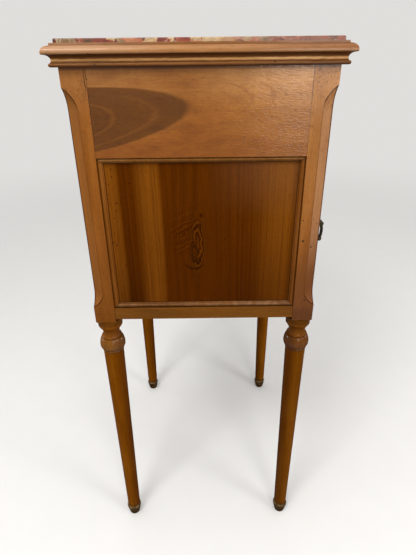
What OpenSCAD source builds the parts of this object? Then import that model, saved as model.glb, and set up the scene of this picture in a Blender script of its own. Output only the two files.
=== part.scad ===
// Bedside pot cupboard: a marble top in a moulded cornice, a drawer over a panelled door,
// frame and panel sides, and four chamfered posts that run down into turned legs.
// The front faces -Y, the origin is on the floor under the middle of the case.

/* [Case] */
// Width across the outer faces of the posts
case_w = 406; // [370:2:450]
// Depth across the outer faces of the posts
case_d = 330; // [300:2:380]
// Height of the posts, from the floor to the underside of the cornice
post_h = 820.5; // [780:0.5:880]
// Height of the open space under the lower rails
leg_clear = 473; // [430:1:500]
// Side of the square part of a post
post_s = 30.5; // [29:0.5:36]
// How far the square part of a post hangs below the lower rails
post_drop = 6; // [3:1:12]

/* [Rails] */
// Height of the upper side rails
side_rail_h = 105; // [90:1:115]
// Height of the lower rails on all four sides
low_rail_h = 19.5; // [19:0.5:30]
// Height of the upper back rail
back_rail_h = 60; // [40:1:80]
// Height of the two flat front rails over and under the drawer
front_rail_h = 18; // [16:1:20]
// Depth of the two flat front rails
front_rail_deep = 45; // [40:1:60]
// Thickness of the upright rails
rail_t = 20; // [19:0.5:24]
// Length of the tenons on the rails
tenon_l = 14; // [10:0.5:14]
// Shoulder above and below a tenon
tenon_shoulder = 3; // [2:0.5:4]

/* [Panels] */
// Thickness of the side, back and door panels
panel_t = 8; // [6:0.5:8]
// How far the panels lie behind the faces of the frames
panel_in = 6; // [5:0.5:7]
// Depth of the grooves that hold the panels
groove_deep = 5; // [4:0.5:7]
// Width of the bead moulding round a panel
mould_w = 7.5; // [7:0.5:12]
// Height of the bead moulding above its panel
mould_h = 5; // [4.5:0.1:5]
// Half the width of the bead
bead_r = 2.4; // [1.5:0.1:2.6]

/* [Chamfers] */
// Width of the chamfer on each face of a post
chamfer = 16; // [10:0.5:17]
// From the top of a post to where its chamfer begins
chamfer_from_top = 22; // [15:1:40]
// From the underside of the lower rails to where the chamfer ends
chamfer_from_low = 22; // [15:1:40]
// Height of the curved run-out at the upper end
chamfer_run_top = 28; // [22:1:40]
// Height of the curved run-out at the lower end
chamfer_run_low = 23; // [22:1:40]

/* [Turned leg] */
// From the outer faces of a post in to the axis of its leg
leg_in = 17.4; // [16.5:0.1:18.5]
// Radius of the disc under the square part
disc_r = 18.8; // [18:0.1:20]
// Height of the disc
disc_h = 13.5; // [11:0.5:15]
// Radius of the neck
neck_r = 13; // [12:0.1:13.5]
// Radius of the bulb
bulb_r = 20; // [18.5:0.1:21]
// From the underside of the square part down to the bulb's widest point
bulb_down = 48; // [45:0.5:52]
// Radius at the top of the tapered shaft
shaft_top_r = 16.1; // [15:0.1:17.5]
// Radius at the foot of the tapered shaft
shaft_low_r = 11.7; // [11:0.1:12.2]
// Radius of the round foot at its widest
foot_r = 13.4; // [12.6:0.1:14.2]
// Height at which the shaft starts to round in above the foot
foot_h = 31; // [29:0.5:36]
// Radius of the flat sole
sole_r = 9.8; // [8.5:0.1:10.8]
// Height of the round, worn foot, up to the notch under the shaft
pad_h = 24; // [20:0.5:26]

/* [Cornice and marble] */
// Height of the cornice
cornice_h = 25; // [24:0.5:30]
// Width of each cornice length
cornice_w = 52; // [50:1:62]
// How far the nose of the cornice stands out from the posts
nose_out = 14; // [13:0.5:18]
// How far the lower bead of the cornice stands out from the posts
bead_out = 8.5; // [7.5:0.1:9]
// How far the lip round the marble stands out from the posts
lip_out = 5.5; // [5:0.1:8]
// Thickness of the marble slab
marble_t = 15; // [12:0.5:18]
// How far the marble stands up above the cornice
marble_rise = 4.5; // [3:0.5:6]
// How far the marble stands out from the posts
marble_out = 1.5; // [0.5:0.1:2.5]
// Thickness of the board under the marble
sub_top_t = 8; // [6:0.5:9]
// Width of the ledge that carries that board
sub_top_ledge = 8; // [6:0.5:12]
// Diameter of the dowels between cornice and rails
dowel_d = 6; // [5:0.5:8]
// Length of a dowel in the rail
dowel_low = 15; // [12:1:20]
// Length of a dowel in the cornice
dowel_up = 8; // [6:0.5:9]

/* [Boards inside] */
// Thickness of the bottom board
bottom_t = 10; // [8:0.5:10]
// From the underside of the lower rails up to the bottom board
bottom_up = 7; // [6:0.5:8]
// How far the bottom board goes into the rails
bottom_groove = 4; // [3:0.5:5]
// Thickness of the dust board under the drawer
dust_t = 6; // [5:0.5:8]
// Width of a drawer runner under the drawer
runner_w = 17; // [14:0.5:24]
// Height of the runner's guide beside the drawer
guide_h = 26; // [15:1:40]
// Length of a drawer stop
stop_l = 30; // [20:1:50]
// Depth of a drawer stop
stop_deep = 14; // [10:0.5:16]
// Height of a drawer stop
stop_h = 5; // [3:0.5:6]
// From the middle to each drawer stop
stop_x = 60; // [40:5:100]

/* [Drawer] */
// Free space behind the drawer, in front of the back rail
drawer_back_gap = 20; // [5:1:60]
// Gap round the drawer front
drawer_gap = 1; // [0.8:0.1:1.5]
// Thickness of the drawer front
drawer_front_t = 20; // [18:0.5:22]
// Thickness of the drawer sides and back
drawer_side_t = 10; // [8:0.5:12]
// How far the drawer sides stay below the opening's upper edge
drawer_side_low = 5; // [3:0.5:10]
// Thickness of the drawer bottom
drawer_bottom_t = 5; // [4:0.5:6]
// From the lower edge of the sides up to the drawer bottom
drawer_bottom_up = 8; // [7:0.5:10]
// Depth of the grooves and housings in the drawer sides
drawer_groove = 4; // [3:0.5:5]
// Length of the dovetails
tail_l = 14; // [12:0.5:15]
// Dovetails on each corner
tails = 3; // [2:1:4]

/* [Door] */
// Gap round the door
door_gap = 1.6; // [1.4:0.1:2]
// Thickness of the door
door_t = 20; // [19:0.5:22]
// Width of the door stiles
stile_w = 40; // [36:1:50]
// Width of the door rails
door_rail_w = 40; // [34:1:50]

/* [Hinges] */
// Height of a hinge
hinge_h = 40; // [32:1:50]
// From the door's upper or lower edge to the middle of a hinge
hinge_from_edge = 45; // [35:1:60]
// Thickness of a hinge leaf
leaf_t = 1.4; // [1.2:0.1:1.5]
// Width of a hinge leaf in the joint
leaf_w = 16; // [14:0.5:18]
// Radius of the knuckles
knuckle_r = 3.2; // [2.8:0.1:3.6]
// Radius of the hinge pin
hinge_pin_r = 1.5; // [1.3:0.1:1.8]

/* [Pulls and lock] */
// From the middle of the door up to the pull's pin
door_pull_up = 2; // [0:0.5:12]
// From the middle of the drawer up to the pull's pin
drawer_pull_up = 12; // [8:1:14]
// Distance of the pull's pin from the wood
pull_out = 11.3; // [11:0.1:14]
// Length of the drop from its pin to its end
drop_l = 29; // [27:0.5:34]
// Radius of the drop's stem
drop_r = 2.3; // [1.8:0.1:2.6]
// Radius of the knob at the end of the drop
drop_end_r = 3.8; // [2.6:0.1:4]
// Width of a pull's back plate
plate_w = 24; // [20:0.5:30]
// Height of the door pull's back plate
door_plate_h = 58; // [54:1:70]
// Height of the drawer pull's back plate
drawer_plate_h = 50; // [48:1:56]
// Thickness of a back plate
plate_t = 2; // [1.5:0.1:2.5]
// Width of the lock case
lock_w = 36; // [34:1:38]
// Height of the lock case
lock_h = 44; // [36:1:50]
// Depth of the lock case
lock_t = 9; // [8.5:0.1:9.5]
// Height of the bolt
bolt_h = 8; // [6:0.5:9]
// Thickness of the bolt
bolt_t = 4.5; // [4:0.1:5]
// Length of the bolt
bolt_l = 23; // [22:0.5:24]
// Travel of the bolt
bolt_travel = 7; // [5:0.5:7.5]

/* [Fits] */
// Clearance in wooden joints
fit = 0.1; // [0.05:0.01:0.2]
// Clearance of the marble in its recess
marble_fit = 0.4; // [0.2:0.1:1]
// Running clearance of a pin in its bore
pin_fit = 0.05; // [0.03:0.01:0.08]
// Gap between sliding or swinging pieces and what they run beside
run_gap = 0.3; // [0.2:0.05:0.4]

/* [Hidden] */
$fn = 64;

// Finishes, as seen in the photograph
walnut = "#9a5a22";
walnut_dark = "#7a3f17";
walnut_pale = "#b0763a";
oak = "#b58a56";
marble = "#a5766a";
bronze = "#3a3226";
brass = "#a98b4a";
steel = "#8a8a86";

eps = 0.01;
over = 1;

// Levels of the case
low_z = leg_clear;
block_z = leg_clear - post_drop;
panel_low_z = leg_clear + low_rail_h;
panel_top_z = post_h - side_rail_h;
open_z0 = panel_top_z + front_rail_h;
open_z1 = post_h - front_rail_h;
inner_w = case_w - 2 * post_s;
inner_d = case_d - 2 * post_s;
front_y = -case_d / 2;

// Spans [lower edge, upper edge] of the rails
side_top = [panel_top_z, post_h];
low_rail = [low_z, panel_low_z];
back_top = [post_h - back_rail_h, post_h];
front_top = [open_z1, post_h];
front_mid = [panel_top_z, open_z0];

// Spans of their tenons, with a shoulder at each edge and clear of the panel grooves
groove_clear = groove_deep * 1.2;
side_top_tenon = [side_top[0] + groove_clear, side_top[1] - tenon_shoulder];
low_rail_tenon = [low_rail[0] + tenon_shoulder, low_rail[1] - groove_clear];
back_top_tenon = [back_top[0] + groove_clear, back_top[1] - tenon_shoulder];
front_top_tenon = [front_top[0] + tenon_shoulder, front_top[1] - tenon_shoulder];
front_mid_tenon = [front_mid[0] + tenon_shoulder, front_mid[1] - tenon_shoulder];

// Marble recess in the cornice
recess_z = post_h + cornice_h + marble_rise - marble_t;

// Door
door_w = inner_w - 2 * door_gap;
door_z0 = panel_low_z + door_gap;
door_z1 = panel_top_z - door_gap;
door_h = door_z1 - door_z0;
door_mid_z = (door_z0 + door_z1) / 2;
door_open_w = door_w - 2 * stile_w;
door_open_z = [door_z0 + door_rail_w, door_z1 - door_rail_w];
door_back_y = front_y + door_t;
pull_x = -door_w / 2 + stile_w / 2;
door_pull_z = door_mid_z + door_pull_up;

// Hinge axis: in the middle of the gap at the right post, a little in front of the faces
hinge_x = inner_w / 2 - door_gap / 2;
hinge_out = knuckle_r + 0.4;
hinge_y = front_y - hinge_out;
hinge_zs = [door_z0 + hinge_from_edge, door_z1 - hinge_from_edge];
leaf_gap = 0.1;
leaf_reach = hinge_out + leaf_w;
knuckle_cut_r = knuckle_r + 0.35;
pin_head_r = hinge_pin_r + 1.1;
pin_head_h = 1.2;

// Small countersunk screws of the hinges and the lock
screw_r = 1.2;
screw_head_r = 2.6;
screw_head_h = 1.3;
screw_l = 13;
screw_fit = 0.05;
hinge_screw_z = hinge_h * 0.3;
hinge_screw_y = hinge_out + leaf_w * 0.6;

// Round-headed screws of the pulls
pin_screw_r = 1.1;
pin_screw_head_r = 2.2;
pin_screw_l = 10;

// Pull
pull_pin_r = 1;
ear_r = 3.1;
ear_t = 2.4;
eye_l = 5;
eye_r = 2.9;
ear_gap = 0.3;
drop_bulge = 1.9;
key_d = 4.4;
key_slot = [2.4, 8];

// Drawer
drawer_hw = inner_w / 2 - drawer_gap;
drawer_z0 = open_z0 + run_gap;
drawer_side_z1 = open_z1 - drawer_side_low;
drawer_back_y = case_d / 2 - rail_t - drawer_back_gap;
drawer_front_back_y = front_y + drawer_front_t;
drawer_bottom_z = drawer_z0 + drawer_bottom_up;
drawer_mid_z = (open_z0 + open_z1) / 2;
drawer_pull_z = drawer_mid_z + drawer_pull_up;

// Lock
lock_x0 = -door_w / 2 + run_gap;
lock_z = door_pull_z - drop_l / 2;
lock_wall = 1.5;
lock_rim = 8;
// The bolt lies above the keyhole's eye, held by the case's edge and by a guide further in
bolt_x0 = lock_x0 + 0.5;
bolt_y = door_back_y + 2;
bolt_z0 = lock_z + key_d / 2 + 0.6;
bolt_guide_x = bolt_x0 + bolt_l - bolt_travel - 6;
strike_deep = bolt_travel - door_gap + 1.5;

// A box between two corners
module box(a, b) {
    translate(a) cube(b - a);
}

// Points on an arc, with one radius across and one up
function arc(cx, cy, rx, ry, from, to, n = 10) =
    [for (i = [0:n]) let (a = from + (to - from) * i / n) [cx + rx * cos(a), cy + ry * sin(a)]];

// Children drawn for one corner, with x and y running inward from the outer faces
module at_corner(sx, sy) {
    translate([sx * case_w / 2, sy * case_d / 2, 0])
        mirror([sx > 0 ? 1 : 0, 0, 0]) mirror([0, sy > 0 ? 1 : 0, 0]) children();
}

// Children drawn on the left side, copied to the right when s is 1
module at_side(s) {
    mirror([s > 0 ? 1 : 0, 0, 0]) children();
}

// ---------------------------------------------------------------- posts and legs

// Half outline of the turned leg, from the sole up to the square part. Its small mouldings are
// measured in u, which follows the height of the turning.
function leg_outline() =
    let (
        u = bulb_down / 48,
        top = block_z,
        bulb_z = top - bulb_down,
        bulb_low = bulb_z - 7 * u,
        quirk_z = bulb_z + 14 * u,
        ring_r = neck_r + 1.6 * u,
        ring_z = quirk_z + 1.8 * u,
        neck_z = top - 25.5 * u,
        neck_w = 3.2 * u,
        fillet_z = top - disc_h - 2.4 * u,
        fillet_r = disc_r - 1.9 * u
    )
    concat(
        [[0, 0]],
        arc(sole_r - 1.2, 1.6, 1.2, 1.6, -90, -30, 4),
        arc(foot_r - 4, pad_h - 5, 4, 4.6, -20, 75, 8),
        [[shaft_low_r - 2, pad_h]],
        arc(shaft_low_r - 2.5, foot_h, 2.5, foot_h - pad_h - 0.5, -75, 0, 6),
        [[shaft_top_r, bulb_low - 5.2 * u]],
        [[shaft_top_r - 0.5 * u, bulb_low - 4.8 * u], [shaft_top_r - 0.5 * u, bulb_low - 4.2 * u]],
        arc(shaft_top_r - 0.1 * u, bulb_low - 2.6 * u, u, 1.5 * u, -70, 70, 5),
        [[shaft_top_r, bulb_low - 0.8 * u]],
        arc(shaft_top_r, bulb_z, bulb_r - shaft_top_r, 7 * u, -85, 0, 9),
        arc(bulb_r - 9 * u, bulb_z, 9 * u, 17 * u, 6, 54, 8),
        [[ring_r, quirk_z + 0.3 * u]],
        arc(ring_r, ring_z, 1.2 * u, 1.2 * u, -70, 95, 8),
        arc(neck_r + neck_w, neck_z, neck_w, (neck_z - ring_z - 1.4 * u) / sin(50), -130, -180, 5),
        arc(neck_r + neck_w, neck_z, neck_w, fillet_z - neck_z, 180, 105, 7),
        arc(fillet_r - 0.8 * u, fillet_z + u, 0.8 * u, u, -80, 70, 5),
        [[fillet_r - 1.4 * u, top - disc_h - 0.2 * u]],
        arc(disc_r - 2 * u, top - disc_h + 2 * u, 2 * u, 2 * u, -80, 0, 5),
        [[disc_r, top], [0, top]]
    );

// The lowest part of the square, its corners eased on the lathe; its axis is the leg's
module post_shoulder() {
    reach = leg_in * sqrt(2) + 0.5;
    ease = min(3, post_drop - 0.1);
    intersection() {
        translate([leg_in, leg_in, block_z]) rotate_extrude() polygon(concat(
            [[0, 0]],
            arc(reach - ease, ease, ease, ease, -90, 0, 6),
            [[reach, post_drop + over], [0, post_drop + over]]
        ));
        box([0, 0, block_z], [post_s, post_s, post_h]);
    }
}

// The stopped chamfer: deep in the middle, with a curved run-out at each end
module chamfer_cutter() {
    deep = chamfer / sqrt(2);
    z0 = low_z + chamfer_from_low;
    z1 = post_h - chamfer_from_top;
    function run_r(run) = (run * run + deep * deep) / (2 * deep);
    function run_arc(run, zc, s) =
        let (r = run_r(run), reach = asin(run / r))
        [for (i = [0:8]) let (a = s * reach * i / 8) [deep - r + r * cos(a), zc + r * sin(a)]];
    low = run_arc(chamfer_run_low, z0 + chamfer_run_low, -1);
    high = run_arc(chamfer_run_top, z1 - chamfer_run_top, 1);
    outline = concat([for (i = [8:-1:0]) low[i]], high, [[-over, z1], [-over, z0]]);
    rotate([0, 0, 45]) rotate([90, 0, 0])
        linear_extrude(height = 3 * chamfer, center = true) polygon(outline);
}

// Mortise for the tenon of a rail that runs along Y, in the corner frame
module mortise_y(tenon) {
    box(
        [panel_in - fit, post_s - tenon_l - fit, tenon[0] - fit],
        [panel_in + panel_t + fit, post_s + over, tenon[1] + fit]
    );
}

// Mortise for the tenon of a rail that runs along X, in the corner frame
module mortise_x(tenon) {
    box(
        [post_s - tenon_l - fit, panel_in - fit, tenon[0] - fit],
        [post_s + over, panel_in + panel_t + fit, tenon[1] + fit]
    );
}

// Post with its turned leg, chamfer, side mortises and the groove of the side panel
module post_blank() {
    difference() {
        union() {
            box([0, 0, low_z], [post_s, post_s, post_h]);
            post_shoulder();
            translate([leg_in, leg_in, 0]) rotate_extrude() polygon(leg_outline());
        }
        chamfer_cutter();
        mortise_y(side_top_tenon);
        mortise_y(low_rail_tenon);
        box(
            [panel_in - fit, post_s - groove_deep - fit, panel_low_z - groove_deep],
            [panel_in + panel_t + fit, post_s + over, panel_top_z + groove_deep]
        );
    }
}

module front_post(sx) {
    color(walnut) at_corner(sx, -1) difference() {
        post_blank();
        mortise_x(front_top_tenon);
        mortise_x(front_mid_tenon);
        mortise_x(low_rail_tenon);
    }
}

module post_front_left() {
    difference() {
        front_post(-1);
        color(walnut) box(
            [-inner_w / 2 - strike_deep, bolt_y - run_gap, bolt_z0 - run_gap],
            [-inner_w / 2 + over, bolt_y + bolt_t + run_gap, bolt_z0 + bolt_h + run_gap]
        );
    }
}

module post_front_right() {
    difference() {
        front_post(1);
        color(walnut) for (z = hinge_zs) translate([hinge_x, hinge_y, z]) {
            leaf_recess();
            for (s = [-1, 1]) translate([leaf_gap, hinge_screw_y, s * hinge_screw_z])
                rotate([0, 90, 0]) cylinder(r = screw_r + screw_fit, h = screw_l + 2 * screw_fit);
        }
    }
}

module back_post(sx) {
    color(walnut) at_corner(sx, 1) difference() {
        post_blank();
        mortise_x(back_top_tenon);
        mortise_x(low_rail_tenon);
        box(
            [post_s - groove_deep - fit, panel_in - fit, panel_low_z - groove_deep],
            [post_s + over, panel_in + panel_t + fit, back_top[0] + groove_deep]
        );
    }
}

// ---------------------------------------------------------------- rails

// Rail between two posts with a tenon at each end. It runs along X, its outer face on y = 0,
// the inside at +y, and span and tenon hold the lower and upper edges of the rail and its tenons.
module rail(length, span, tenon, deep) {
    box([-length / 2, 0, span[0]], [length / 2, deep, span[1]]);
    for (s = [-1, 1]) scale_x(s) box(
        [length / 2 - eps, panel_in, tenon[0]],
        [length / 2 + tenon_l, panel_in + panel_t, tenon[1]]
    );
}

module scale_x(s) {
    mirror([s < 0 ? 1 : 0, 0, 0]) children();
}

// Turns a rail or panel drawn for the front onto the left side
module on_left() {
    translate([-case_w / 2, 0, 0]) rotate([0, 0, -90]) children();
}

// Groove along the edge of a rail or stile, for a panel; z0 to z1 is cut away
module panel_groove(length, z0, z1) {
    box([-length / 2 - over, panel_in - fit, z0], [length / 2 + over, panel_in + panel_t + fit, z1]);
}

// Groove in the inner face of a lower rail, for the bottom board
module board_groove(length) {
    box(
        [-length / 2 - over, rail_t - bottom_groove - fit, low_z + bottom_up - fit],
        [length / 2 + over, rail_t + over, low_z + bottom_up + bottom_t + fit]
    );
}

// Blind holes for the dowels under a cornice length, at a share of the rail's length each way
module dowel_holes(length, z, h) {
    for (s = [-1, 1]) translate([s * length * 0.3, rail_t / 2, z]) cylinder(d = dowel_d + 2 * fit, h = h);
}

module side_top_rail(s) {
    color(walnut) at_side(s) on_left() difference() {
        rail(inner_d, side_top, side_top_tenon, rail_t);
        panel_groove(inner_d, panel_top_z - over, panel_top_z + groove_deep + fit);
        dowel_holes(inner_d, post_h - dowel_low - 1, dowel_low + 2);
    }
}

module low_rail_blank(length) {
    difference() {
        rail(length, low_rail, low_rail_tenon, rail_t);
        panel_groove(length, panel_low_z - groove_deep - fit, panel_low_z + over);
        board_groove(length);
    }
}

module side_low_rail(s) {
    color(walnut) at_side(s) on_left() low_rail_blank(inner_d);
}

module at_back() {
    translate([0, case_d / 2, 0]) rotate([0, 0, 180]) children();
}

module at_front() {
    translate([0, front_y, 0]) children();
}

module back_top_rail() {
    color(walnut) at_back() difference() {
        rail(inner_w, back_top, back_top_tenon, rail_t);
        panel_groove(inner_w, back_top[0] - over, back_top[0] + groove_deep + fit);
        dowel_holes(inner_w, post_h - dowel_low - 1, dowel_low + 2);
    }
}

module back_low_rail() {
    color(walnut) at_back() low_rail_blank(inner_w);
}

module front_low_rail() {
    color(walnut) at_front() difference() {
        rail(inner_w, low_rail, low_rail_tenon, rail_t);
        board_groove(inner_w);
    }
}

module front_top_rail() {
    color(walnut) at_front() difference() {
        rail(inner_w, front_top, front_top_tenon, front_rail_deep);
        dowel_holes(inner_w, post_h - dowel_low - 1, dowel_low + 2);
    }
}

dust_z = open_z0 - front_rail_h / 2 - dust_t / 2;

module dust_slot(x, y) {
    box([-x, -y, dust_z - fit], [x, y, dust_z + dust_t + fit]);
}

module front_middle_rail() {
    color(walnut) difference() {
        at_front() rail(inner_w, front_mid, front_mid_tenon, front_rail_deep);
        dust_slot(dust_x + fit, dust_front + fit);
    }
}

// ---------------------------------------------------------------- panels and mouldings

module panel(length, z0, z1) {
    box(
        [-length / 2 - groove_deep + fit, panel_in, z0 - groove_deep + fit],
        [length / 2 + groove_deep - fit, panel_in + panel_t, z1 + groove_deep - fit]
    );
}

module side_panel(s) {
    color(walnut_dark) at_side(s) on_left() panel(inner_d, panel_low_z, panel_top_z);
}

module back_panel() {
    color(walnut_dark) at_back() panel(inner_w, panel_low_z, back_top[0]);
}

// Section of the bead moulding: x runs from the frame inward, y away from the panel
module mould_section() {
    centre = mould_w / 2;
    bead_rise = mould_h * 0.44;
    polygon(concat(
        [[fit, 0], [fit, mould_h * 0.52], [centre - bead_r, mould_h * 0.52]],
        arc(centre, mould_h - bead_rise, bead_r, bead_rise, 180, 0, 12),
        [[centre + bead_r, mould_h * 0.2], [mould_w, mould_h * 0.16], [mould_w, 0]]
    ));
}

// One mitred length along the lower edge of an opening, in the plane of the panel
module mould_length(length, across) {
    intersection() {
        translate([-length / 2, 0, 0]) rotate([90, 0, 90]) linear_extrude(height = length) mould_section();
        linear_extrude(height = mould_h + over) polygon([
            [-length / 2 + fit, 0], [length / 2 - fit, 0],
            [length / 2 - mould_w - over - fit, mould_w + over], [-length / 2 + mould_w + over + fit, mould_w + over]
        ]);
    }
}

// Four mitred lengths round an opening, on a panel drawn like a front panel
module mouldings(length, z0, z1) {
    h = z1 - z0;
    translate([0, panel_in, (z0 + z1) / 2]) rotate([90, 0, 0]) {
        for (a = [0, 180]) rotate([0, 0, a]) translate([0, -h / 2, 0]) mould_length(length, h);
        for (a = [90, 270]) rotate([0, 0, a]) translate([0, -length / 2, 0]) mould_length(h, length);
    }
}

module side_moulding(s) {
    color(walnut_dark) at_side(s) on_left() mouldings(inner_d, panel_low_z, panel_top_z);
}

// ---------------------------------------------------------------- top

// Section of the cornice: x is how far it stands out from the posts, y the height above them
module cornice_section() {
    inner = nose_out - cornice_w;
    floor_y = recess_z - post_h;
    lip_y = cornice_h * 0.9;
    nose_y = cornice_h * 0.62;
    nose_low = cornice_h * 0.53;
    cove_y = cornice_h * 0.29;
    bead_h = cornice_h * 0.18;
    cove_x = nose_out - cornice_h * 0.05;
    polygon(concat(
        [[inner, 0]],
        arc(bead_out - bead_h / 2, bead_h / 2, bead_h / 2, bead_h / 2, -90, 90, 10),
        arc(cove_x, cove_y, cove_x - bead_out + bead_h * 0.68, nose_low - cove_y, 205, 90, 12),
        arc(nose_out - 1.5, nose_low + 1.7, 1.5, 1.7, -75, 0, 5),
        arc(lip_out + 0.2, nose_y, nose_out - lip_out - 0.2, lip_y - nose_y, 0, 90, 12),
        [[lip_out, lip_y], [lip_out, cornice_h], [marble_out + marble_fit, cornice_h]],
        [[marble_out + marble_fit, floor_y], [inner + sub_top_ledge, floor_y]],
        [[inner + sub_top_ledge, floor_y - sub_top_t], [inner, floor_y - sub_top_t]]
    ));
}

// One mitred cornice length for a side of the case that is `length` long, drawn at the front
module cornice_length(length) {
    out = length / 2 + nose_out;
    translate([0, 0, post_h]) difference() {
        intersection() {
            translate([out, 0, 0]) rotate([90, 0, -90]) linear_extrude(height = 2 * out) cornice_section();
            translate([0, 0, -over]) linear_extrude(height = cornice_h + 2 * over) polygon([
                [-out, -nose_out], [out, -nose_out],
                [out - cornice_w, cornice_w - nose_out], [-out + cornice_w, cornice_w - nose_out]
            ]);
        }
        dowel_holes(length - 2 * post_s, -over, dowel_up + 1 + over);
    }
}

module cornice_front() {
    color(walnut) at_front() cornice_length(case_w);
}

module cornice_back() {
    color(walnut) at_back() cornice_length(case_w);
}

module cornice_side(s) {
    color(walnut) at_side(s) on_left() cornice_length(case_d);
}

module dowel_pair(length) {
    for (s = [-1, 1]) translate([s * length * 0.3, rail_t / 2, post_h - dowel_low])
        cylinder(d = dowel_d, h = dowel_low + dowel_up);
}

module cornice_dowels() {
    color(oak) {
        at_front() dowel_pair(inner_w);
        at_back() dowel_pair(inner_w);
        for (s = [-1, 1]) at_side(s) on_left() dowel_pair(inner_d);
    }
}

module sub_top() {
    x = case_w / 2 + nose_out - cornice_w + sub_top_ledge - run_gap;
    y = case_d / 2 + nose_out - cornice_w + sub_top_ledge - run_gap;
    color(oak) box([-x, -y, recess_z - sub_top_t], [x, y, recess_z]);
}

module marble_top() {
    x = case_w / 2 + marble_out;
    y = case_d / 2 + marble_out;
    color(marble) box([-x, -y, recess_z], [x, y, recess_z + marble_t]);
}

// ---------------------------------------------------------------- boards inside

module bottom_board() {
    x = case_w / 2 - rail_t + bottom_groove - fit;
    y = case_d / 2 - rail_t + bottom_groove - fit;
    z = low_z + bottom_up;
    color(oak) difference() {
        box([-x, -y, z], [x, y, z + bottom_t]);
        for (sx = [-1, 1]) for (sy = [-1, 1]) at_corner(sx, sy)
            box([0, 0, z - over], [post_s + fit, post_s + fit, z + bottom_t + over]);
    }
}

rail_in_x = case_w / 2 - rail_t;
runner_x = inner_w / 2 - runner_w;
runner_y0 = front_y + front_rail_deep + fit;
runner_y1 = case_d / 2 - rail_t - fit;
between_y = inner_d / 2 - fit;
dust_x = runner_x + 5;
dust_front = -(runner_y0 - fit - 5);

// Bearer along one side, up to the rails and notched round the posts; z0 to z1 high
module bearer(z0, z1) {
    box([-rail_in_x, runner_y0, z0], [-runner_x, between_y, z1]);
    box([-inner_w / 2 + fit, between_y - eps, z0], [-runner_x, runner_y1, z1]);
}

module drawer_runner(s) {
    color(oak) at_side(s) difference() {
        union() {
            bearer(front_mid[0], front_mid[1]);
            box([-rail_in_x, -between_y, front_mid[0]], [-inner_w / 2 - fit, between_y, front_mid[1] + guide_h]);
        }
        dust_slot(dust_x + fit, case_d);
    }
}

module drawer_kicker(s) {
    color(oak) at_side(s) bearer(front_top[0], front_top[1]);
}

module dust_board() {
    color(oak) box([-dust_x, -dust_front, dust_z], [dust_x, runner_y1, dust_z + dust_t]);
}

module drawer_stops() {
    color(oak) for (s = [-1, 1]) translate([s * stop_x - stop_l / 2, drawer_front_back_y + fit, open_z0])
        cube([stop_l, stop_deep, stop_h]);
}

// ---------------------------------------------------------------- drawer

// Dovetails along a drawer corner, as seen from the side; g widens them into sockets
module tails_2d(g) {
    pitch = (drawer_side_z1 - drawer_z0) / tails;
    for (i = [0:tails - 1]) {
        z = drawer_z0 + pitch * (i + 0.5);
        polygon([
            [drawer_front_back_y + eps, z - pitch * 0.26 - g],
            [drawer_front_back_y - tail_l - g, z - pitch * 0.36 - g],
            [drawer_front_back_y - tail_l - g, z + pitch * 0.36 + g],
            [drawer_front_back_y + eps, z + pitch * 0.26 + g]
        ]);
    }
}

module tails_3d(g, t) {
    rotate([90, 0, 90]) linear_extrude(height = t) tails_2d(g);
}

module bottom_slot(g) {
    box(
        [-drawer_hw + drawer_side_t - drawer_groove - g, drawer_front_back_y - 5 - g, drawer_bottom_z - g],
        [drawer_hw - drawer_side_t + drawer_groove + g, drawer_back_y + over, drawer_bottom_z + drawer_bottom_t + g]
    );
}

module back_slot(g) {
    box(
        [
            -drawer_hw + drawer_side_t - drawer_groove - g,
            drawer_back_y - drawer_side_t * 1.3 - g,
            drawer_bottom_z + drawer_bottom_t + fit - g
        ],
        [
            drawer_hw - drawer_side_t + drawer_groove + g,
            drawer_back_y - drawer_side_t * 0.3 + g,
            drawer_side_z1 - 2 + 2 * g
        ]
    );
}

module drawer_side(s) {
    color(oak) difference() {
        at_side(s) union() {
            box(
                [-drawer_hw, drawer_front_back_y, drawer_z0],
                [-drawer_hw + drawer_side_t, drawer_back_y, drawer_side_z1]
            );
            translate([-drawer_hw, 0, 0]) tails_3d(0, drawer_side_t);
        }
        bottom_slot(fit);
        back_slot(fit);
    }
}

module drawer_front() {
    color(walnut) difference() {
        box(
            [-drawer_hw, front_y, open_z0 + drawer_gap],
            [drawer_hw, drawer_front_back_y, open_z1 - drawer_gap]
        );
        for (s = [-1, 1]) at_side(s)
            translate([-drawer_hw - over, 0, 0]) tails_3d(fit, drawer_side_t + over + fit);
        bottom_slot(fit);
        translate([0, 0, drawer_pull_z]) pull_holes(drawer_plate_h);
    }
}

module drawer_back() {
    color(oak) back_slot(0);
}

module drawer_bottom() {
    color(oak) intersection() {
        bottom_slot(0);
        box([-case_w, -case_d, 0], [case_w, drawer_back_y, post_h]);
    }
}

// ---------------------------------------------------------------- pulls

// From the pull's pin to the middle of its plate, and to the two screws
plate_mid = -drop_l / 2 + 4;
function screw_zs(h) = [for (s = [1, -1]) plate_mid + s * (h / 2 - 4.5)];

// Holes in the wood behind a pull; the pin is at z = 0
module pull_holes(h) {
    for (z = screw_zs(h)) translate([0, front_y - over, z])
        rotate([-90, 0, 0]) cylinder(r = pin_screw_r + screw_fit, h = pin_screw_l + over + 0.3);
}

// Keyhole: a round eye over a slot
module keyhole_2d() {
    circle(d = key_d);
    translate([-key_slot[0] / 2, -key_slot[1]]) square([key_slot[0], key_slot[1]]);
}

// Plate outline: a long plate with a small shoulder under each round end
module plate_2d(h) {
    translate([0, plate_mid]) {
        square([plate_w, h - plate_w * 0.7], center = true);
        for (s = [-1, 1]) translate([0, s * (h / 2 - plate_w * 0.45)]) circle(d = plate_w * 0.9);
    }
}

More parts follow.
